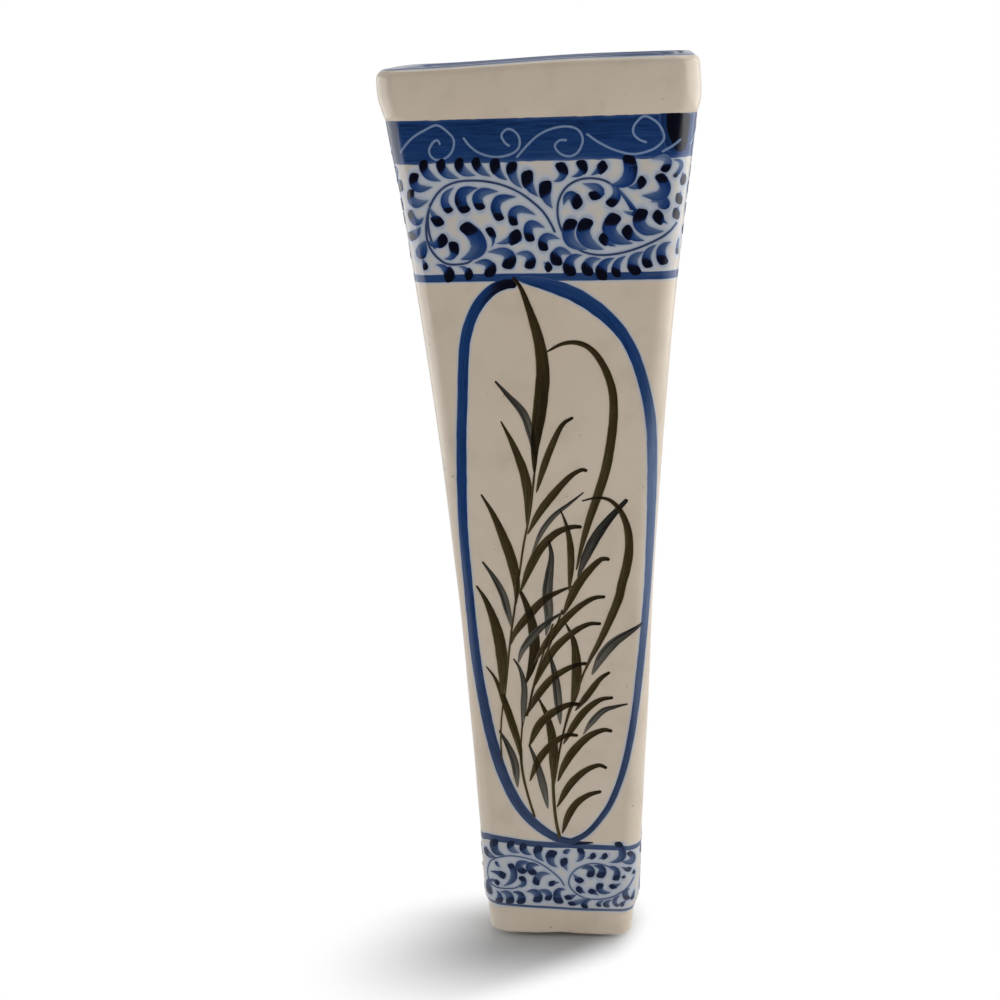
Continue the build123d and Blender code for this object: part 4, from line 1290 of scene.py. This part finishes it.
# Grass inside the oval, each blade from its tip to its foot: kind, width, points
grass = {
    "inkAt": (0, 0.07, 0.3, 0.6, 1),
    "kinds": {  # width of the tip, how fast it widens, where it is widest, paint at the places above
        "olive": (0.16, 1.2, 0.6, (0.8, 0.74, 0.68, 0.64, 0.56)),
        "arched": (0.16, 1.2, 0.5, (0.8, 0.74, 0.68, 0.64, 0.56)),
        "bent": (0.12, 0.62, 0.62, (0.8, 0.74, 0.68, 0.64, 0.56)),
        "blunt": (0.4, 1.0, 0.6, (1.0, 0.84, 0.66, 0.64, 0.58)),
        "dark": (0.2, 1.2, 0.6, (1.0, 0.84, 0.68, 0.78, 0.86)),
        "slate": (0.26, 1.3, 0.6, (1.0, 0.98, 0.88, 0.75, 0.62)),
        "night": (0.4, 1.2, 0.6, (1.5, 1.5, 1.25, 1.0, 0.85)),
        "stalk": (1.0, 1.0, 0.6, (0.62, 0.6, 0.58, 0.56, 0.56)),
    },
    "foot": 0.14,  # a blade thins to this share of its width
    "footCurve": 0.9,
    "endRound": 0.1,
    "oliveLean": 0.12,
    "slateHollow": 0.22,
    "spine": {"width": 0.2, "least": 0.15, "length": 0.8, "aside": 0.2, "ink": (1.0, 0.75)},
    "overlap": 0.2,  # how much a blade deepens over an earlier one
    "overlapEdge": 1.05,
    "overlapRise": 4.0,
    "thinnest": 0.15,
    "blades": [
        ("stalk", 0.7, [(-5, 173.3), (-6.7, 160.8), (-9.2, 149.2), (-10.8, 140), (-12, 135)]),
        ("stalk", 0.9, [(-12.8, 77), (-12.6, 70), (-11.8, 63), (-10.2, 55.5), (-8.4, 48.6)]),
        ("stalk", 0.7, [(-10.8, 140), (-12.8, 127.5), (-14.8, 115), (-16.7, 100), (-17.8, 92)]),
        ("stalk", 0.7, [(2.6, 126), (-1.2, 115), (-5, 105.5), (-8, 96.5), (-10.2, 87)]),
        ("stalk", 0.6, [(-0.6, 121), (-3.8, 111), (-7, 101), (-9.4, 91)]),
        ("stalk", 0.7, [(9.4, 104), (7, 97), (4.6, 90), (2.4, 83), (0.6, 75), (-0.8, 66)]),
        ("stalk", 0.6, [(6.6, 98), (3.8, 89), (1.4, 79), (-0.4, 70)]),
        ("stalk", 0.55, [(-18.2, 91), (-19, 84), (-19.3, 77), (-19.1, 70)]),
        ("stalk", 0.6, [(-11.8, 85), (-12.3, 79), (-12.9, 73)]),
        ("stalk", 1.1, [(-1.7, 72), (-1.9, 62), (-1.6, 53), (-0.9, 46), (0.2, 40.6)]),
        ("slate", 2.7, [(-16.3, 203.8), (-12.5, 199.2), (-7.9, 193.3), (-5.8, 186.7), (-4.6, 178.3)]),
        ("dark", 4.4, [(-9.5, 236.5), (-7.1, 232.9), (-4.2, 224.2), (-2.1, 215.8), (-1.3, 206.7),
         (-2.1, 198.3), (-3.3, 190), (-4.6, 181.7), (-5, 173.3)]),
        ("olive", 3.1, [(-15, 190.7), (-11.3, 182.5), (-8.3, 173.3), (-7.3, 165), (-7.9, 155)]),
        ("blunt", 2.3, [(7.7, 191.7), (4.2, 189.2), (0.8, 182.5), (-2.1, 175), (-4.6, 166.7)]),
        ("bent", 3.0, [(0, 212.9), (5, 215.4), (9.8, 215.6), (14, 213.2), (17.5, 208), (19.9, 200.8),
         (20.3, 193.3), (19.5, 185), (17.7, 175), (15.2, 166.7), (11.8, 156.7), (9.2, 147.5),
         (7.5, 140)]),
        ("slate", 1.8, [(10.4, 166.7), (5.8, 162.9), (0.8, 158.8), (-3.3, 153.3), (-6.7, 145.8)]),
        ("slate", 3.4, [(-1.1, 150.2), (-0.4, 145), (-1.3, 138.3), (-2.1, 131.7), (-1.9, 124),
         (-3, 116.7)]),
        ("slate", 2.5, [(-22.9, 143.1), (-19.6, 137.9), (-16.7, 131.7), (-15.3, 125.8), (-14, 119)]),
        ("slate", 2.5, [(3.1, 125.2), (-1.5, 122.1), (-6.5, 117.5), (-10.7, 111.7), (-12.5, 106.7)]),
        ("slate", 2.2, [(-14, 108.3), (-11.9, 104.2), (-10.8, 98.3), (-11.1, 91.7), (-11.9, 82.5)]),
        ("slate", 2.9, [(-2.3, 110.8), (-0.9, 105), (0, 98.5), (0.5, 91), (0.9, 84)]),
        ("night", 3.3, [(24.2, 164.3), (18.3, 157.5), (14.2, 151.7), (10.8, 145), (7.9, 137.5)]),
        ("slate", 3.4, [(28.9, 121), (24.3, 117.9), (19.3, 114.2), (15.2, 109.2), (11.8, 102.5)]),
        ("slate", 2.2, [(23.5, 91.9), (19.3, 90.8), (15.2, 89.2), (11.4, 85), (8.5, 80.4)]),
        ("slate", 2.7, [(-19.7, 81.7), (-16.9, 75.8), (-14.8, 69.2), (-14, 60)]),
        ("slate", 2.7, [(-9.8, 76.5), (-7.3, 69.2), (-5.3, 60.8), (-3.8, 52)]),
        ("blunt", 2.6, [(11.7, 173.8), (10, 174.3), (6.3, 172.1), (1.3, 166.7), (-3.8, 160),
         (-7.9, 152.5)]),
        ("blunt", 2.9, [(9.6, 155), (5.8, 154.8), (0.8, 152.5), (-4.2, 147.1), (-7.9, 140),
         (-10.8, 132.5)]),
        ("olive", 3.4, [(-22.3, 166.3), (-18.8, 159.6), (-15.8, 151.7), (-13.3, 143.3), (-12.1, 135),
         (-12.5, 128)]),
        ("arched", 3.0, [(9.8, 163.8), (14.2, 164.8), (18.3, 164.2), (21.7, 160.8), (24, 155),
         (24.6, 148.3), (23.8, 141.7), (22.1, 135), (21, 130), (18.1, 122.5), (14.8, 115),
         (11.4, 108.3), (8.5, 101.7)]),
        ("olive", 2.3, [(2.9, 160.8), (4.6, 155.8), (5.7, 149.2), (5.8, 141.7), (5, 132.5)]),
        ("blunt", 2.9, [(18.3, 143.5), (15.8, 143.8), (11.7, 140), (7.5, 134.2), (2.7, 124)]),
        ("olive", 3.9, [(-25.2, 134.6), (-22.3, 129.2), (-19.8, 121.7), (-18.2, 113.3), (-17.8, 105),
         (-18.2, 95)]),
        ("blunt", 2.6, [(16.7, 130.6), (12.7, 130), (7.7, 126.7), (2.7, 121.7), (-2.3, 115),
         (-7.3, 106.7)]),
        ("blunt", 2.6, [(15.2, 121), (11, 120.8), (6, 117.9), (0.2, 112.5), (-4, 105.8), (-7.3, 98.3)]),
        ("olive", 2.9, [(6.8, 134.6), (1.8, 132.5), (-3.2, 129.6), (-9, 123.3), (-13.2, 117.5),
         (-14.8, 113.3)]),
        ("dark", 3.6, [(-11.9, 135), (-9, 127.5), (-7.3, 120), (-6.9, 111.7), (-8.2, 105),
         (-10.3, 99)]),
        ("olive", 3.4, [(3.5, 121.3), (6, 115), (6.8, 106.7), (6.4, 98.3), (4.8, 90)]),
        ("blunt", 2.3, [(17.8, 103.6), (14.3, 100.8), (10.2, 95), (6, 89.2)]),
        ("blunt", 2.6, [(18.7, 94.2), (14.3, 93.3), (9.3, 89.2), (5.2, 83.3), (1.8, 76.7)]),
        ("blunt", 2.9, [(18.3, 81.7), (15.2, 82.1), (10.2, 79.6), (5.2, 74.2), (1.8, 68.3),
         (-0.3, 62.5)]),
        ("blunt", 2.6, [(16.4, 67.7), (13.5, 68.8), (8.5, 66.3), (3.5, 60.8), (-0.7, 52.5)]),
        ("blunt", 2.6, [(14.5, 58.9), (10.2, 57.5), (6, 54.2), (3.1, 49.2), (1, 42.5)]),
        ("olive", 2.6, [(-23.2, 105.4), (-20.3, 100.8), (-17.8, 93.3), (-15.3, 84.2), (-13.2, 75.8),
         (-12.3, 69.2)]),
        ("blunt", 2.6, [(10.2, 106.7), (6, 105.8), (-0.7, 101.7), (-5.7, 95.8), (-11.1, 86.7)]),
        ("blunt", 2.9, [(7.7, 91.7), (3.5, 91.3), (-2.3, 87.9), (-6.5, 83.3), (-9.8, 75.8)]),
        ("blunt", 2.6, [(6.8, 80), (2.7, 80), (-2.3, 76.3), (-6.5, 70.8), (-9.8, 62.5)]),
        ("olive", 3.3, [(-6.5, 94.6), (-3.6, 87.5), (-2.1, 80), (-1.6, 72), (-1.8, 60)]),
    ],
}


def bladeRows(kind, width, points):
    # a tip, a full middle and a thin foot, along evenly spread points
    tip, spread, widest, inks = grass["kinds"][kind]
    line = curveThrough([(s, z, 0, 0) for s, z in points], 1.0)
    far = lengthsAlong(line)
    for row, t in zip(line, far / far[-1]):
        if kind == "stalk":
            swell = 1.0
        elif t < widest:
            swell = mixed(tip, 1, math.sin(math.pi / 2 * t / widest) ** spread)
        else:
            fall = math.cos(math.pi / 2 * (t - widest) / (1 - widest))
            swell = mixed(grass["foot"], 1, max(fall, 0.0) ** grass["footCurve"])
        row[2:] = width * swell, np.interp(t, grass["inkAt"], inks)
    return line


def spineRows(rows):
    # a dark line runs beside the middle of a slate blade, from its tip
    spine = grass["spine"]
    line = rows[: int(len(rows) * spine["length"])].copy()
    ahead = headings(line)
    across = np.column_stack([-ahead[:, 1], ahead[:, 0]])
    line[:, :2] -= across * line[:, 2:3] * spine["aside"]
    line[:, 2] = line[:, 2] * spine["width"] + spine["least"]
    line[:, 3] = np.linspace(*spine["ink"], len(line))
    return line


def paintGrass():
    olive, slate = newLayer("olive"), newLayer("slate")
    end = grass["endRound"]
    laid = []  # (s, z, half width) of every blade so far

    def under(s, z):
        if not laid:
            return 0.0
        spots = np.vstack(laid)
        near = np.hypot(spots[:, 0] - s, spots[:, 1] - z) / np.maximum(spots[:, 2], grass["thinnest"])
        covered = (grass["overlapEdge"] - near.min()) * grass["overlapRise"]
        return grass["overlap"] * min(max(covered, 0.0), 1.0)

    for kind, width, points in grass["blades"]:
        rows = bladeRows(kind, width, points)
        tip = rows[0, 2] / 2
        if kind in ("slate", "night"):
            rows = addStroke(slate, rows, tip, end, hollow=grass["slateHollow"], under=under)
            addStroke(slate, spineRows(rows), end, end)
        else:
            rows = addStroke(olive, rows, tip, end, grass["oliveLean"], under=under)
        laid.append(rows[:, :3] * (1, 1, 0.5))
    finishLayer(olive, "grass_blades", olivePaint, "olive_paint")
    finishLayer(slate, "slate_blades", slatePaint, "olive_paint")


paintGrass()

# Stage: a plain floor that goes over into white, and soft boxes round the vase
stage = {
    "floorSize": 12.0,
    "floorDrop": 0.0002,
    "floorBounce": 0.82,  # what the floor gives back to the vase
    # the camera sees this darker paper, the vase is lit by the paler one above: painted shade that deepens
    # the shadow beside the foot
    "floorShade": 0.4,  # the paper that shows the shadow
    # painted light: the floor glows white past these fitted reaches, which cuts the lamps' shadow short on
    # each side
    "paperEnds": [  # ways over the floor, where the paper starts to fade into white, over how far
        ((-1, 0.6), 0.0049, 0.075),
        ((1, -1.2), 0.0175, 0.034),
        ((1, 0), 0.016, 0.016),
        ((0, -1), 0.0098, 0.054),
        ((0, 1), 0.0012, 0.03),
    ],
    "sky": 0.12,
    "mirrored": 0.05,  # how bright the white in front shows in the glaze
    "asideGlow": 0.8,  # and how bright at the sides and behind
    "asideOver": (0.4, 1.0),  # between these values of x over -y
    "leastAhead": 0.02,
    "leftShare": 0.6,
    "inGlaze": ("rightBox", "leftBox", "topBox"),  # the lamps that the glaze mirrors
}


def glow(bench, kind, strength):
    output = "Background" if kind == "ShaderNodeBackground" else "Emission"
    return bench.add(kind, None, {"Color": (1, 1, 1, 1), "Strength": strength})[output]


def mixShaders(bench, factor, a, b):
    return bench.add("ShaderNodeMixShader", None, {0: factor, 1: a, 2: b})["Shader"]


def raySorts(bench):
    # rays that the camera sends, also through glass, and rays that the glaze mirrors
    rays = bench.add("ShaderNodeLightPath")
    return rays["Is Camera Ray"].atLeast(rays["Is Transmission Ray"]), rays["Is Glossy Ray"]


def glazeSees(bench, kind, place):
    # the glaze mirrors the white at the sides and behind, and little of what lies in front
    apart = bench.add("ShaderNodeSeparateXYZ", None, {"Vector": place})
    across = apart["X"].atLeast(apart["X"] * -stage["leftShare"])
    ahead = (apart["Y"] * -1).atLeast(stage["leastAhead"])
    aside = bench.step(across / ahead, *stage["asideOver"])
    front, side = (glow(bench, kind, stage[name]) for name in ("mirrored", "asideGlow"))
    return mixShaders(bench, aside, front, side)


def shadowFade(bench, place):
    # 0 beside the foot, 1 where the paper has gone over into white: painted light, whose reach on each side
    # sets where the lamps' shadow ends
    apart = bench.add("ShaderNodeSeparateXYZ", None, {"Vector": place})
    far = 0.0
    for (alongX, alongY), start, reach in stage["paperEnds"]:
        way = apart["X"] * alongX + apart["Y"] * alongY
        past = ((way - start) / reach).atLeast(0.0)
        far = far + past * past
    return bench.step(far.root(), 0.0, 1.0)


def buildFloor():
    half = stage["floorSize"] / 2
    corners = [(-half, -half, 0), (half, -half, 0), (half, half, 0), (-half, half, 0)]
    mesh = bpy.data.meshes.new("floor")
    mesh.from_pydata(corners, [], [(0, 1, 2, 3)])
    material, bench = newMaterial("paleFloor")
    seen, glossy = raySorts(bench)
    place = bench.add("ShaderNodeTexCoord")["Object"]
    bounce, shade = (
        bench.add("ShaderNodeBsdfDiffuse", None, {"Color": (*[stage[tone]] * 3, 1)})["BSDF"]
        for tone in ("floorBounce", "floorShade")
    )
    # painted shade and light: darker paper beside the foot, going over into a white glow in a fitted shape
    shown = mixShaders(bench, shadowFade(bench, place), shade, glow(bench, "ShaderNodeEmission", 1.0))
    floorLight = mixShaders(bench, seen, bounce, shown)
    inGlaze = glazeSees(bench, "ShaderNodeEmission", place)
    surface = mixShaders(bench, glossy, floorLight, inGlaze)
    bench.add("ShaderNodeOutputMaterial", None, {"Surface": surface})
    mesh.materials.append(material)
    floor = bpy.data.objects.new("floor", mesh)
    floor.location.z = -stage["floorDrop"]
    bpy.context.scene.collection.objects.link(floor)


def buildSky():
    world = bpy.data.worlds.new("whiteSky")
    bpy.context.scene.world = world
    world.use_nodes = True
    bench = Bench(world.node_tree)
    seen, glossy = raySorts(bench)
    light, white = (glow(bench, "ShaderNodeBackground", strength) for strength in (stage["sky"], 1.0))
    inGlaze = glazeSees(bench, "ShaderNodeBackground", bench.add("ShaderNodeTexCoord")["Generated"])
    unseen = mixShaders(bench, glossy, light, inGlaze)
    bench.add("ShaderNodeOutputWorld", None, {"Surface": mixShaders(bench, seen, unseen, white)})


softBoxes = {  # place and aim in metres, size in metres, power in watts
    "rightBox": {"place": (0.55, -0.1, 0.36), "aim": (0, -0.1, 0.3), "size": (1.15, 0.72), "power": 5.0},
    "leftBox": {"place": (-0.42, 0.0, 0.22), "aim": (0, 0, 0.21), "size": (0.62, 0.42), "power": 1.4},
    "frontBox": {"place": (0.0, -1.2, 0.32), "aim": (0, 0, 0.15), "size": (1.0, 0.6), "power": 2.9},
    "topBox": {"place": (0.1, 0.1, 1.1), "aim": (0, 0, 0), "size": (0.8, 0.8), "power": 3.5},
    "backBox": {"place": (0.35, 0.9, 0.8), "aim": (0, 0, 0), "size": (1.2, 0.8), "power": 10.0},
}


def buildLights():
    for name, box in softBoxes.items():
        lamp = bpy.data.lights.new(name, "AREA")
        lamp.shape = "RECTANGLE"
        lamp.size, lamp.size_y = box["size"]
        lamp.energy = box["power"]
        obj = bpy.data.objects.new(name, lamp)
        obj.location = box["place"]
        aim = Vector(box["aim"]) - Vector(box["place"])
        obj.rotation_euler = aim.to_track_quat("-Z", "Y").to_euler()
        obj.visible_glossy = name in stage["inGlaze"]
        bpy.context.scene.collection.objects.link(obj)


# The photograph's view, fitted to the outline of the vase
viewPoint = {
    "focal": 1.6158,  # focal length as a share of the picture's width
    "place": (33.079, -513.276, 305.477),
    "yaw": 5.72,
    "pitch": 15.934,
    "roll": -1.918,
}


def buildCamera():
    yaw, pitch, roll = (math.radians(viewPoint[k]) for k in ("yaw", "pitch", "roll"))
    ahead = Vector((-math.sin(yaw) * math.cos(pitch), math.cos(yaw) * math.cos(pitch), -math.sin(pitch)))
    level = Vector((math.cos(yaw), math.sin(yaw), 0))
    above = level.cross(ahead)
    right = level * math.cos(roll) + above * math.sin(roll)
    up = above * math.cos(roll) - level * math.sin(roll)
    lens = bpy.data.cameras.new("camera")
    lens.sensor_width = 36
    lens.lens = viewPoint["focal"] * lens.sensor_width
    lens.clip_start = 0.01
    camera = bpy.data.objects.new("camera", lens)
    turn = Matrix((right, up, -ahead)).transposed().to_4x4()
    camera.matrix_world = Matrix.Translation(Vector(viewPoint["place"]) * mm) @ turn
    bpy.context.scene.collection.objects.link(camera)
    bpy.context.scene.camera = camera


buildFloor()
buildSky()
buildLights()
buildCamera()
bpy.context.scene.view_settings.view_transform = "Standard"
print("stage, lights and camera ready")
